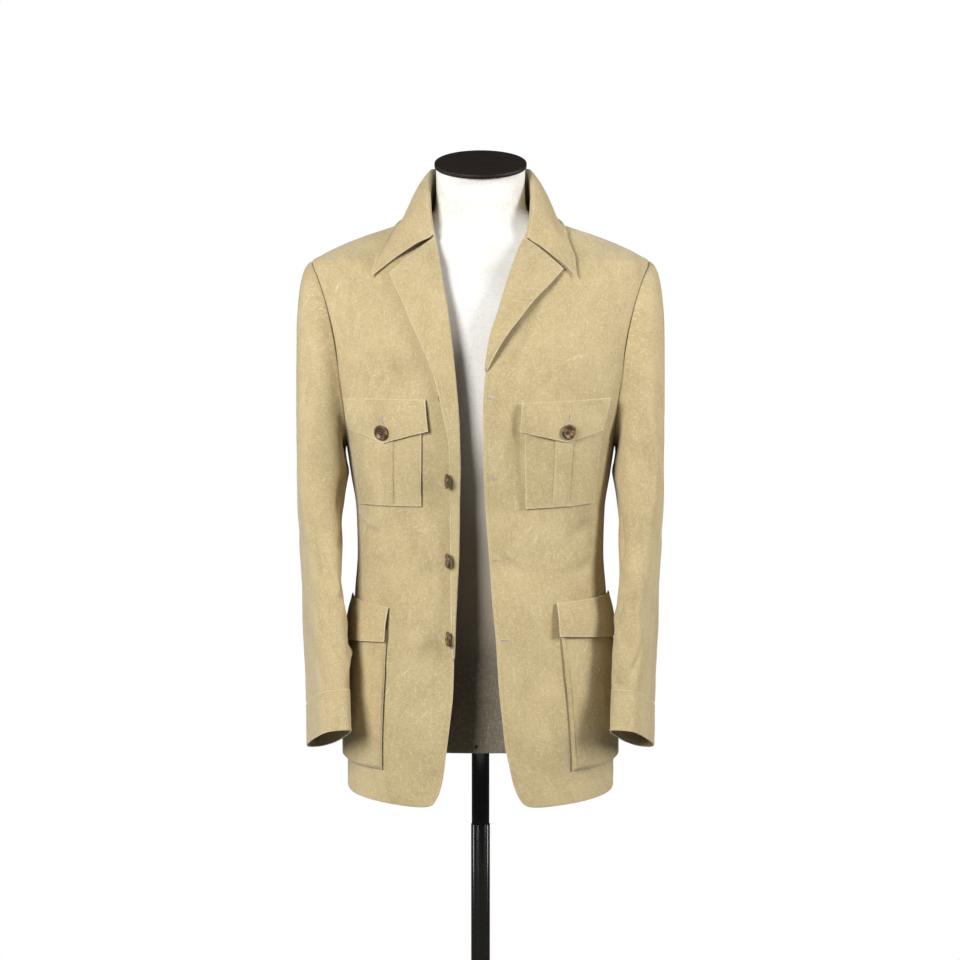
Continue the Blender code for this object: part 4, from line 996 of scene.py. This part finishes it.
def stitch_shapes(centres, alongs, normals, length, radius):
    """Thread stitches: small six-sided spindles, half sunk in the cloth."""
    side = np.cross(normals, alongs)
    rings = [(-0.5, 0.25), (-0.3, 0.95), (0.3, 0.95), (0.5, 0.25)]
    points = []
    for share, size in rings:
        for k in range(6):
            angle = math.tau * k / 6
            points.append(centres + alongs * length * share
                          + (side * math.cos(angle) + normals * math.sin(angle)) * radius * size)
    points = np.stack(points, 1)
    faces = []
    for r in range(3):
        for k in range(6):
            j = (k + 1) % 6
            faces.append((r * 6 + k, r * 6 + j, r * 6 + 6 + j, r * 6 + 6 + k))
    faces = np.array(faces)
    ends = [tuple(range(5, -1, -1)), tuple(range(18, 24))]
    everything = []
    for i in range(len(points)):
        everything += [tuple(f + i * 24) for f in faces]
        everything += [tuple(e + i * 24 for e in end) for end in ends]
    return points.reshape(-1, 3), everything


def sewn(name, rows, material):
    """One object from rows of stitches, each a pair of points and faces."""
    points, faces, count = [], [], 0
    for made, its_faces in rows:
        points.append(made)
        faces += [tuple(i + count for i in face) for face in its_faces]
        count += len(made)
    thread = mesh_object(name, np.concatenate(points), faces, material)
    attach(thread, "root")


def stitching(name, lines):
    """The rows of machine stitches on one piece, as one object."""
    rows = []
    for points, normals in lines:
        if len(points) < 3:
            continue
        run = run_of(points)
        places = np.arange(1.2, run[-1] - 1.2, 3.1)
        centre = along_line(places, run, points)
        ahead = along_line(places + 0.6, run, points)
        normal = along_line(places, run, normals)
        normal /= np.linalg.norm(normal, axis=1, keepdims=True)
        along = ahead - centre
        along /= np.maximum(np.linalg.norm(along, axis=1, keepdims=True), 1e-9)
        rows.append(stitch_shapes(centre + normal * 0.12, along, normal, 2.2, 0.26))
    sewn(name, rows, THREAD)


def buttonhole(name, slit):
    """A worked buttonhole: a dark slit (painted shade inside the cut) between two rows of close
    thread, with a bar.
    """
    points = np.array([p for p, _ in slit])
    normals = np.array([n for _, n in slit])
    run = run_of(points)
    places = np.arange(0, run[-1], 0.55)
    centre = along_line(places, run, points)
    normal = along_line(places, run, normals)
    normal /= np.linalg.norm(normal, axis=1, keepdims=True)
    along = np.gradient(centre, axis=0)
    along /= np.linalg.norm(along, axis=1, keepdims=True)
    side = np.cross(normal, along)
    rows = []
    for off, length in ((-0.85, 1.5), (0.85, 1.5)):
        rows.append(stitch_shapes(centre + side * off + normal * 0.15, side, normal, length, 0.3))
    for end in (0, -1):
        rows.append(stitch_shapes(centre[[end]] + normal[[end]] * 0.2, side[[end]],
                                  normal[[end]], 3.2, 0.45))
    dark = centre[[len(centre) // 2]] + normal[[0]] * 0.12
    sewn(name, rows, HOLE_THREAD)
    # Painted shade: a near-black spindle along the cut stands for the shadow inside the slit.
    sewn(name + "_slit", [stitch_shapes(dark, along[[0]], normal[[0]], run[-1] - 1, 0.22)], SLIT_SHADE)


def front_buttonholes(cloth):
    """The four buttonholes down the wearer's left front."""
    for number, (z, x0, x1) in enumerate(FRONT_HOLES, 1):
        slit = [nearest_on(cloth, np.array([x, depth_at(x, z) - 1, z]))
                for x in np.linspace(x0, x1, 10)]
        buttonhole("front_buttonhole_%d" % number, slit)


def thread_knots():
    """The button threads' ends, seen on the turned-out edge of the wearer's right front."""
    centres, alongs, normals = [], [], []
    for z, x in ((1234, 39.5), (1131.5, 31.0), (1129, 32.2), (1030, 31.5)):
        on = lifted(x, z, 2 * FOLD_RADIUS + 0.3 + front_relief("r", x, z))
        normal = outward(lifted(x, z, 0))
        centres.append(on * (-1, 1, 1))
        normals.append(normal * (-1, 1, 1))
        alongs.append((0, 0, 1))
    knots = stitch_shapes(np.array(centres), np.array(alongs, float), np.array(normals),
                          1.7, 0.55)
    sewn("button_thread_ends", [knots], BUTTON_THREAD)


# Buttons

def button(name, centre, facing):
    """A horn button: a raised rim round a dish with four holes, and its thread."""
    half, rim = BUTTON_THICK / 2, BUTTON_RADIUS
    profile = [(0.01, half - 1.15), (rim * 0.3, half - 1.1), (rim * 0.52, half - 0.95),
               (rim * 0.62, half - 0.55), (rim * 0.68, half - 0.1), (rim * 0.74, half),
               (rim * 0.86, half), (rim * 0.94, half - 0.2), (rim * 0.99, half - 0.75),
               (rim, -half + 1.5), (rim * 0.97, -half + 0.8), (rim * 0.8, -half + 0.1),
               (rim * 0.7, -half), (0.01, -half)]
    sides = 64
    angle = np.linspace(0, math.tau, sides + 1)[:-1]
    points = np.array([[(r * math.cos(a), r * math.sin(a), z) for a in angle]
                       for r, z in profile])
    rows = len(profile)
    faces = []
    for r in range(rows - 1):
        for c in range(sides):
            d = (c + 1) % sides
            faces.append((r * sides + c, (r + 1) * sides + c, (r + 1) * sides + d,
                          r * sides + d))
    faces += [tuple(range(sides)), tuple((rows - 1) * sides + c for c in range(sides))[::-1]]
    turn = Vector((0, 0, 1)).rotation_difference(Vector(facing)).to_matrix().to_4x4()
    place = Matrix.Translation(Vector(centre) * MM) @ turn
    body = mesh_object(name + "_horn", points.reshape(-1, 3), faces, HORN)
    drills = []
    for k in range(4):
        a = math.pi / 4 + k * math.pi / 2
        cx, cy = 2.3 * math.cos(a), 2.3 * math.sin(a)
        ring_points = [(cx + 0.95 * math.cos(b), cy + 0.95 * math.sin(b), z)
                       for z in (-4, 4) for b in np.linspace(0, math.tau, 17)[:-1]]
        ring_faces = [(i, (i + 1) % 16, 16 + (i + 1) % 16, 16 + i) for i in range(16)]
        ring_faces += [tuple(range(16))[::-1], tuple(range(16, 32))]
        drills.append((ring_points, ring_faces))
    drill_points = [p for points, _ in drills for p in points]
    drill_faces = [tuple(i + 32 * n for i in face)
                   for n, (_, faces) in enumerate(drills) for face in faces]
    drill = mesh_object(name + "_drill", drill_points, drill_faces, HORN)
    cut = body.modifiers.new("Holes", "BOOLEAN")
    cut.object, cut.operation, cut.solver = drill, "DIFFERENCE", "EXACT"
    graph = bpy.context.evaluated_depsgraph_get()
    holed = bpy.data.meshes.new_from_object(body.evaluated_get(graph))
    body.modifiers.clear()
    body.data = holed
    bpy.data.objects.remove(drill)
    holed.transform(place)
    holed.set_sharp_from_angle(angle=math.radians(38))
    middle = mesh_object(name + "_thread", *stitch_shapes(
        np.array([(0, 0, half - 0.75), (0, 0, half - 0.55)]),
        np.array([(0.7071, 0.7071, 0), (0.7071, -0.7071, 0)]),
        np.array([(0, 0, 1.0), (0, 0, 1.0)]), 5.4, 0.42), BUTTON_THREAD)
    shank = mesh_object(name + "_shank", *stitch_shapes(
        np.array([(0, 0, -half - 0.6)]), np.array([(0, 0, 1.0)]), np.array([(1.0, 0, 0)]),
        2.4, 1.1), BUTTON_THREAD)
    for piece in (middle, shank):
        piece.data.transform(place)
        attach(piece, "root")
    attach(body, "root")
    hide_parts(name)


def front_buttons():
    """The buttons on the wearer's right front; those that show are turned on edge."""
    for number, (z, x, turn, lift) in enumerate(FRONT_BUTTONS, 1):
        angle = math.radians(turn)
        centre = lifted(x, z, lift) * (-1, 1, 1)
        button("front_button_%d" % number, centre, (-math.sin(angle), -math.cos(angle), 0))


# Dress form and stand

def stack(name, loops, material, node):
    """A closed smooth body through a stack of loops, standing in for its CAD node."""
    loops = np.asarray(loops, float)
    rows, cols = loops.shape[:2]
    faces = []
    for r in range(rows - 1):
        for c in range(cols):
            d = (c + 1) % cols
            faces.append((r * cols + c, r * cols + d, (r + 1) * cols + d, (r + 1) * cols + c))
    faces.append(tuple(range(cols))[::-1])
    faces.append(tuple((rows - 1) * cols + c for c in range(cols)))
    made = mesh_object(name, loops.reshape(-1, 3), faces, material)
    made.data.set_sharp_from_angle(angle=math.radians(50))
    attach(made, "root")
    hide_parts(node)
    return made


def tilted_loop(radii, turns, shift):
    """A loop across the neck, tilted forward, moved along its own axis by shift."""
    angle, tilt = np.radians(turns), math.radians(NECK_TILT)
    flat = np.stack([radii[0] * np.cos(angle), radii[1] * np.sin(angle), 0 * angle + shift], -1)
    turn = np.array([[1, 0, 0], [0, math.cos(tilt), -math.sin(tilt)],
                     [0, math.sin(tilt), math.cos(tilt)]])
    return flat @ turn.T + np.array(NECK_TOP, float)


def dress_form():
    """The linen form with its seams, and the wooden cap on its neck."""
    turns = np.linspace(0, 360, 145)[:-1]
    angle = np.radians(turns)
    bottom = [FORM_BOTTOM, FORM_BOTTOM + 0.3, FORM_BOTTOM + 1.2, FORM_BOTTOM + 3,
              FORM_BOTTOM + 6]
    heights = bottom + list(np.linspace(FORM_BOTTOM + 10, 1500, 190))
    loops = []
    for z in heights:
        half, front, back, power = (lookup(FORM, RING_COLUMNS, name, z)
                                    for name in RING_COLUMNS[1:])
        c, s = np.cos(angle), np.sin(angle)
        x = half * np.sign(c) * np.abs(c) ** (2 / power)
        y = np.where(s > 0, back, front) * np.sign(s) * np.abs(s) ** (2 / power)
        loops.append(np.stack([x, y, 0 * x + z], -1))
    tops = [tilted_loop(NECK_RADIUS, turns, -0.3)]
    last = loops[-1]
    for share in (0.25, 0.5, 0.75):
        tops.insert(-1, last + (tops[-1] - last) * share)
    loops = np.array(loops + tops)
    loops[:4, :, :2] *= np.array([0.985, 0.992, 0.997, 1.0])[:, None, None]
    groove = np.zeros(loops.shape[:2])
    for place in (0, 90, 180, 270, 52, 128, 232, 308):
        off = np.abs((turns - place + 180) % 360 - 180) * math.radians(1) * 110
        groove = groove + np.exp(-(off / 1.4) ** 2)[None] * 0.6
    neck = np.exp(-((loops[..., 2] - (1470 + loops[..., 1] * 0.12)) / 2.2) ** 2) * 0.35
    inward = loops[..., :2] / np.linalg.norm(loops[..., :2], axis=2, keepdims=True)
    loops[..., :2] -= inward * (groove + neck)[..., None]
    stack("form_linen", loops, LINEN, "form_body")
    cap = []
    for shrink, shift in ((1.6, 0), (0.5, 0.25), (0.0, 1.0), (0.0, CAP_THICK - 1.4),
                          (0.35, CAP_THICK - 0.6), (1.1, CAP_THICK - 0.1), (2.2, CAP_THICK),
                          (9, CAP_THICK + 0.05), (30, CAP_THICK + 0.1)):
        cap.append(tilted_loop([r - shrink for r in CAP_RADIUS], turns, shift))
    stack("neck_cap_wood", cap, CAP_WOOD, "neck_cap")
    x, z = -6.0, FORM_BOTTOM + 9
    half, front, _, power = (float(lookup(FORM, RING_COLUMNS, name, z))
                             for name in RING_COLUMNS[1:])
    y = -front * (1 - (abs(x) / half) ** power) ** (1 / power)
    loops = np.array([[(x + r * math.cos(a), y - out, z + r * math.sin(a))
                       for a in np.linspace(0, math.tau, 25)[:-1]]
                      for r, out in ((2.2, 0.0), (2.2, 0.5), (1.7, 0.9), (0.3, 1.0))])
    faces = [(r * 24 + c, r * 24 + (c + 1) % 24, (r + 1) * 24 + (c + 1) % 24,
              (r + 1) * 24 + c) for r in range(3) for c in range(24)]
    faces.append(tuple(72 + c for c in range(24)))
    head = mesh_object("form_screw", loops.reshape(-1, 3), faces, GLOSS_BLACK)
    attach(head, "root")


def turned(name, profile, material, node):
    """A turned piece from its profile, listed from its foot to its top."""
    angle = np.linspace(0, math.tau, 97)[:-1]
    loops = [[(r * math.cos(a), r * math.sin(a), z) for a in angle] for r, z in profile]
    return stack(name, loops, material, node)


def stand():
    """The pole and the round plate that it stands on."""
    top, foot = FORM_BOTTOM - SEAM, HUB_TOP + SEAM
    turned("pole_tube", [(POLE_LOWER_RADIUS, foot), (POLE_LOWER_RADIUS, POLE_STEP - 0.6),
                         (POLE_LOWER_RADIUS - 0.3, POLE_STEP), (POLE_RADIUS, POLE_STEP + 0.2),
                         (POLE_RADIUS, top - 7), (POLE_RADIUS + 0.4, top - 6.2),
                         (POLE_RADIUS + 4.6, top - 6), (POLE_RADIUS + 5, top - 5.5),
                         (POLE_RADIUS + 5, top)], GLOSS_BLACK, "pole")
    turned("base_plate", [(BASE_RADIUS - 1, 0), (BASE_RADIUS, 0.8), (BASE_RADIUS, 3.4),
                          (BASE_RADIUS - 0.8, 5.4), (BASE_RADIUS - 3, 6.6),
                          (BASE_RADIUS - 8, 7.2), (HUB_RADIUS + 8, BASE_THICK - 0.2),
                          (HUB_RADIUS + 3, BASE_THICK + 0.6), (HUB_RADIUS, BASE_THICK + 2.4),
                          (HUB_RADIUS - 4, HUB_TOP - 4), (HUB_RADIUS - 5.2, HUB_TOP - 1.2),
                          (HUB_RADIUS - 7.5, HUB_TOP), (POLE_LOWER_RADIUS + 1, HUB_TOP)],
           GLOSS_BLACK, "base")


# Materials: the maths of a surface written as expressions

class Field:
    """A value that varies over a surface; arithmetic on it adds Math nodes."""

    def __init__(self, finish, socket):
        self.finish, self.socket = finish, socket

    def join(self, operation, *parts):
        """One Math node over the parts."""
        return self.finish.node("ShaderNodeMath", {"operation": operation}, dict(
            enumerate(parts)))

    def __add__(self, other):
        return self.join("ADD", self, other)

    def __sub__(self, other):
        return self.join("SUBTRACT", self, other)

    def __rsub__(self, other):
        return self.join("SUBTRACT", other, self)

    def __mul__(self, other):
        return self.join("MULTIPLY", self, other)

    def __truediv__(self, other):
        return self.join("DIVIDE", self, other)

    def __pow__(self, other):
        return self.join("POWER", self, other)

    __radd__, __rmul__ = __add__, __mul__

    def far_from(self, middle):
        """How far the value is from a middle value, either way."""
        return self.join("ABSOLUTE", self - middle)

    def between(self, low, high):
        """0 at low and 1 at high, smooth between them; either may be the larger."""
        return self.finish.node("ShaderNodeMapRange", {"interpolation_type": "SMOOTHSTEP"}, {
            "Value": self, "From Min": low, "From Max": high})


class Finish:
    """A material whose nodes are all added by one method."""

    def __init__(self, name, rough, **constants):
        self.material = bpy.data.materials.new(name)
        self.material.use_nodes = True
        self.tree = self.material.node_tree
        self.shader = self.tree.nodes["Principled BSDF"]
        self.shader.inputs["Roughness"].default_value = rough
        for key, value in constants.items():
            self.shader.inputs[key.replace("_", " ")].default_value = value

    def node(self, kind, settings, inputs, output=0):
        """Add any node: its settings first, then its inputs; gives one output."""
        made = self.tree.nodes.new(kind)
        for key, value in settings.items():
            if key == "stops":
                stops = made.color_ramp.elements
                while len(stops) < len(value):
                    stops.new(0.5)
                for stop, (place, colour) in zip(stops, value):
                    stop.position, stop.color = place, (*colour, 1)
            else:
                setattr(made, key, value)
        for key, value in inputs.items():
            self.feed(made.inputs[key], value)
        return Field(self, made.outputs[output])

    def feed(self, socket, value):
        """Link a field to a socket, or set the socket to a constant."""
        if isinstance(value, Field):
            self.tree.links.new(value.socket, socket)
        elif hasattr(value, "__len__") and len(value) == 3 and socket.type == "RGBA":
            socket.default_value = (*value, 1)
        else:
            socket.default_value = value

    def place(self):
        """The object's own coordinates, in metres."""
        return self.node("ShaderNodeTexCoord", {}, {}, "Object")

    def cut(self):
        """The flat coordinates of a cloth piece, in tenths of a metre."""
        return self.node("ShaderNodeUVMap", {"uv_map": "cut"}, {})

    def stored(self, name):
        """A value stored at the mesh's points."""
        return self.node("ShaderNodeAttribute", {"attribute_name": name}, {}, "Fac")

    def stretched(self, vector, scale, turn=0.0):
        """Coordinates turned about Z, then scaled along each axis."""
        return self.node("ShaderNodeMapping", {"vector_type": "TEXTURE"}, {
            "Vector": vector, "Scale": [1 / part for part in scale],
            "Rotation": (0, 0, math.radians(turn))})

    def noise(self, vector, scale, detail=2.0, roughness=0.5, distortion=0.0):
        """Soft unevenness, about 0.5 in the middle."""
        return self.node("ShaderNodeTexNoise", {}, {
            "Vector": vector, "Scale": scale, "Detail": detail, "Roughness": roughness,
            "Distortion": distortion})

    def split(self, vector, axis):
        """One coordinate of a vector."""
        return self.node("ShaderNodeSeparateXYZ", {}, {"Vector": vector}, axis)

    def mix(self, share, first, second, blend="MIX"):
        """One colour over another."""
        made = self.tree.nodes.new("ShaderNodeMix")
        made.data_type, made.blend_type = "RGBA", blend
        self.feed(made.inputs[0], share)
        self.feed(made.inputs[6], first)
        self.feed(made.inputs[7], second)
        return Field(self, made.outputs[2])

    def bump(self, height, distance, strength=1.0, under=None):
        """A normal from a height in metres, on top of another one."""
        inputs = {"Height": height, "Distance": distance, "Strength": strength}
        if under is not None:
            inputs["Normal"] = under
        return self.node("ShaderNodeBump", {}, inputs)

    def set(self, **fields):
        """Link fields to the shader's sockets."""
        for key, value in fields.items():
            self.feed(self.shader.inputs[key.replace("_", " ")], value)
        return self.material


def wave(finish, coordinate, per_unit):
    """A sine of a coordinate, between 0 and 1."""
    turned_by = finish.node("ShaderNodeMath", {"operation": "SINE"},
                            {0: coordinate * (math.tau * per_unit)})
    return turned_by * 0.5 + 0.5


def washed_canvas():
    """Sun-bleached khaki cotton: weave, short pale fibres, broad fading and worn edges."""
    f = Finish("washed khaki canvas", 0.86, Sheen_Weight=0.3, Sheen_Roughness=0.45,
               Specular_IOR_Level=0.25)
    place, cut, worn = f.place(), f.cut(), f.stored("worn")
    broad = f.noise(place, 8, 2)
    cloudy = f.noise(f.stretched(cut, (3.4, 1.7, 1), 12), 1.0, 4, 0.62, 0.5)
    brushed = f.noise(f.stretched(cut, (74, 30, 1), 35), 1.0, 4, 0.65, 0.8)
    grain = f.noise(place, 620, 2)
    hairs = 0
    for wide, turn, bend in ((92, 38, 1.2), (82, -44, 1.4), (88, 82, 1.1), (74, 4, 1.3)):
        lines = f.noise(f.stretched(cut, (wide, wide / 7, 1), turn), 1.0, 2, 0.55, bend)
        hairs = hairs + lines.between(0.56, 0.69)
    long_lines = f.noise(f.stretched(cut, (34, 2.2, 1), -38), 1.0, 1, 0.4, 0.8)
    creases = long_lines.far_from(0.5).between(0.012, 0.002) \
        * f.noise(place, 11, 1).between(0.58, 0.68)
    warp = wave(f, f.split(cut, "X"), 120)
    weft = wave(f, f.split(cut, "Y"), 120)
    threads = warp * weft
    deep, mid, pale, bleached = ((0.390, 0.296, 0.143), (0.50, 0.395, 0.207),
                                 (0.60, 0.495, 0.285), (0.76, 0.68, 0.47))
    colour = f.mix(cloudy.between(0.32, 0.66), deep, mid)
    colour = f.mix(broad.between(0.3, 0.7) * 0.4, colour, mid)
    colour = f.mix(brushed.between(0.4, 0.7) * 0.4, colour, pale)
    colour = f.mix(brushed.between(0.5, 0.3) * 0.45, colour, deep)
    colour = f.mix(grain.between(0.35, 0.75) * 0.35, colour, deep)
    colour = f.mix(hairs * 0.42, colour, (0.68, 0.59, 0.39))
    colour = f.mix(creases * 0.6, colour, bleached)
    edge = (worn * (0.6 + brushed * 0.8)).between(0.08, 1.2)
    colour = f.mix(edge * 0.6, colour, bleached)
    colour = f.mix((1 - threads) * 0.12, colour, deep)
    normal = f.bump(threads + grain * 0.8, 0.00014, 0.7)
    normal = f.bump(brushed + hairs * 0.35, 0.00035, 0.6, normal)
    normal = f.bump(cloudy, 0.0009, 0.45, normal)
    return f.set(Base_Color=colour, Normal=normal, Roughness=0.82 + grain * 0.1)


def white_linen():
    """Off-white linen, tight on the form, with painted shade darkening it from the chest down."""
    f = Finish("white linen", 0.8, Specular_IOR_Level=0.2)
    place = f.place()
    slub = f.noise(f.stretched(place, (700, 700, 160)), 1.0, 2)
    level_slub = f.noise(f.stretched(place, (160, 160, 800)), 1.0, 2)
    soft = f.noise(place, 14, 2)
    colour = f.mix(soft.between(0.3, 0.7), (0.72, 0.705, 0.67), (0.78, 0.77, 0.74))
    height = f.split(place, "Z")
    # Painted shade: the linen turns brown below the chest and near black towards the bottom. This
    # stands for the shadow that the jacket's fronts cast on the form.
    colour = f.mix(height.between(1.24, 0.98) * 0.8, colour, (0.38, 0.315, 0.215))
    colour = f.mix(height.between(1.0, 0.86) * 0.75, colour, (0.10, 0.078, 0.048))
    colour = f.mix((slub + level_slub).between(0.9, 1.3) * 0.3, colour, (0.50, 0.47, 0.40))
    return f.set(Base_Color=colour, Normal=f.bump(slub + level_slub, 0.0003, 0.5))


def brown_horn():
    """Polished horn: dark brown with amber clouds."""
    f = Finish("brown horn", 0.42, Coat_Weight=0.08, Coat_Roughness=0.2)
    place = f.place()
    cloud = f.noise(place, 130, 3, 0.6, 1.2)
    grain = f.noise(f.stretched(place, (900, 160, 900)), 1.0, 2)
    colour = f.mix(cloud.between(0.40, 0.60), (0.055, 0.028, 0.014), (0.17, 0.088, 0.038))
    colour = f.mix(cloud.between(0.54, 0.68) * 0.8, colour, (0.50, 0.33, 0.12))
    colour = f.mix(grain.between(0.5, 0.8) * 0.35, colour, (0.07, 0.035, 0.02))
    return f.set(Base_Color=colour, Normal=f.bump(grain, 0.0001, 0.4))


def sewing_thread(name, dark, pale):
    """Twisted cotton thread; also used for the painted shade inside a buttonhole's slit."""
    f = Finish(name, 0.75, Sheen_Weight=0.2)
    twist = f.noise(f.place(), 1500, 2)
    return f.set(Base_Color=f.mix(twist.between(0.3, 0.7), dark, pale),
                 Normal=f.bump(twist, 0.0001, 0.5))


def lacquered_wood():
    """Very dark brown wood under a satin lacquer."""
    f = Finish("dark lacquered wood", 0.5, Specular_IOR_Level=0.2)
    grain = f.noise(f.stretched(f.place(), (30, 420, 420)), 1.0, 4, 0.6, 0.3)
    return f.set(Base_Color=f.mix(grain.between(0.35, 0.7), (0.012, 0.008, 0.006),
                                  (0.026, 0.018, 0.013)),
                 Roughness=0.42 + grain * 0.16, Normal=f.bump(grain, 0.0002, 0.3))


def gloss_black():
    """Near-black lacquered steel."""
    f = Finish("gloss black steel", 0.12, Coat_Weight=0.25, Coat_Roughness=0.05)
    fleck = f.noise(f.place(), 600, 2)
    smear = f.noise(f.place(), 24, 3)
    return f.set(Base_Color=f.mix(fleck, (0.008, 0.007, 0.006), (0.014, 0.012, 0.010)),
                 Roughness=0.08 + smear * 0.14, Normal=f.bump(fleck, 0.00003, 0.3))


def grey_floor():
    """The studio floor."""
    f = Finish("grey studio floor", 0.7)
    soft = f.noise(f.place(), 8, 3)
    return f.set(Base_Color=f.mix(soft, (0.40, 0.40, 0.40), (0.46, 0.46, 0.45)))


CANVAS = washed_canvas()
LINEN = white_linen()
HORN = brown_horn()
THREAD = sewing_thread("khaki thread", (0.40, 0.30, 0.15), (0.60, 0.48, 0.27))
HOLE_THREAD = sewing_thread("grey buttonhole thread", (0.42, 0.36, 0.26), (0.66, 0.60, 0.48))
BUTTON_THREAD = sewing_thread("dark button thread", (0.07, 0.045, 0.03), (0.16, 0.11, 0.07))
# Painted shade inside a buttonhole's slit, made with the thread material.
SLIT_SHADE = sewing_thread("buttonhole slit shade", (0.06, 0.045, 0.03), (0.10, 0.08, 0.05))
CAP_WOOD = lacquered_wood()
GLOSS_BLACK = gloss_black()
FLOOR = grey_floor()


# Studio

TARGET = Vector((0.0, 0.0, 1.121))
CAMERA_AWAY, CAMERA_TILT, CAMERA_SIDE = 2.947, math.radians(4.4), -0.0007
FLOOR_RADIUS, FLOOR_SIDES = 1150, 96


def light(name, place, size, power):
    """A soft box that points at the jacket."""
    lamp = bpy.data.lights.new(name, "AREA")
    lamp.shape, lamp.size, lamp.size_y = "RECTANGLE", size[0], size[1]
    lamp.energy = power
    made = bpy.data.objects.new(name, lamp)
    made.location = place
    made.rotation_euler = (TARGET - Vector(place)).to_track_quat("-Z", "Y").to_euler()
    bpy.context.collection.objects.link(made)


def studio():
    """Floor, white surroundings, soft boxes and the photograph's camera."""
    angle = np.linspace(0, math.tau, FLOOR_SIDES + 1)[:-1]
    round_edge = [(FLOOR_RADIUS * math.cos(a), FLOOR_RADIUS * math.sin(a), -0.2) for a in angle]
    floor = mesh_object("studio_floor", round_edge, [tuple(range(FLOOR_SIDES))], FLOOR)
    world = bpy.data.worlds.new("white surroundings")
    bpy.context.scene.world = world
    world.use_nodes = True
    nodes, links = world.node_tree.nodes, world.node_tree.links
    seen = nodes["Background"]
    seen.inputs["Color"].default_value = (1, 1, 1, 1)
    seen.inputs["Strength"].default_value = 1.0
    lit = nodes.new("ShaderNodeBackground")
    lit.inputs["Color"].default_value = (1, 1, 1, 1)
    lit.inputs["Strength"].default_value = 0.06
    choose, path = nodes.new("ShaderNodeMixShader"), nodes.new("ShaderNodeLightPath")
    links.new(path.outputs["Is Camera Ray"], choose.inputs[0])
    links.new(lit.outputs[0], choose.inputs[1])
    links.new(seen.outputs[0], choose.inputs[2])
    links.new(choose.outputs[0], nodes["World Output"].inputs["Surface"])
    light("left soft box", (-1.45, -2.05, 1.95), (0.9, 1.1), 81)
    light("right soft box", (2.2, -1.1, 1.85), (0.7, 1.2), 54)
    light("left rim", (-2.7, 0.2, 1.5), (0.6, 1.6), 20)
    light("right rim", (2.7, 0.3, 1.5), (0.6, 1.6), 20)
    light("overhead soft box", (0.0, -0.5, 3.3), (1.2, 1.0), 4)
    bpy.context.scene.view_settings.view_transform = "Standard"
    camera = bpy.data.cameras.new("camera")
    camera.lens, camera.sensor_width = 85, 36
    made = bpy.data.objects.new("camera", camera)
    back = Vector((0, -math.cos(CAMERA_TILT), math.sin(CAMERA_TILT)))
    made.location = TARGET + back * CAMERA_AWAY
    made.location.x = CAMERA_SIDE
    made.rotation_euler = (math.radians(90) - CAMERA_TILT, 0, 0)
    bpy.context.collection.objects.link(made)
    bpy.context.scene.camera = made


def main():
    """Build every piece."""
    back_panel()
    collar()
    for side in ("l", "r"):
        panel = front_panel(side)
        if side == "l":
            front_buttonholes(panel)
        lapel(side)
        sleeve(side)
        cuff(side)
        breast_pocket(side)
        breast_flap(side)
        hip_pocket(side)
        hip_flap(side)
    thread_knots()
    front_buttons()
    dress_form()
    stand()
    studio()


main()
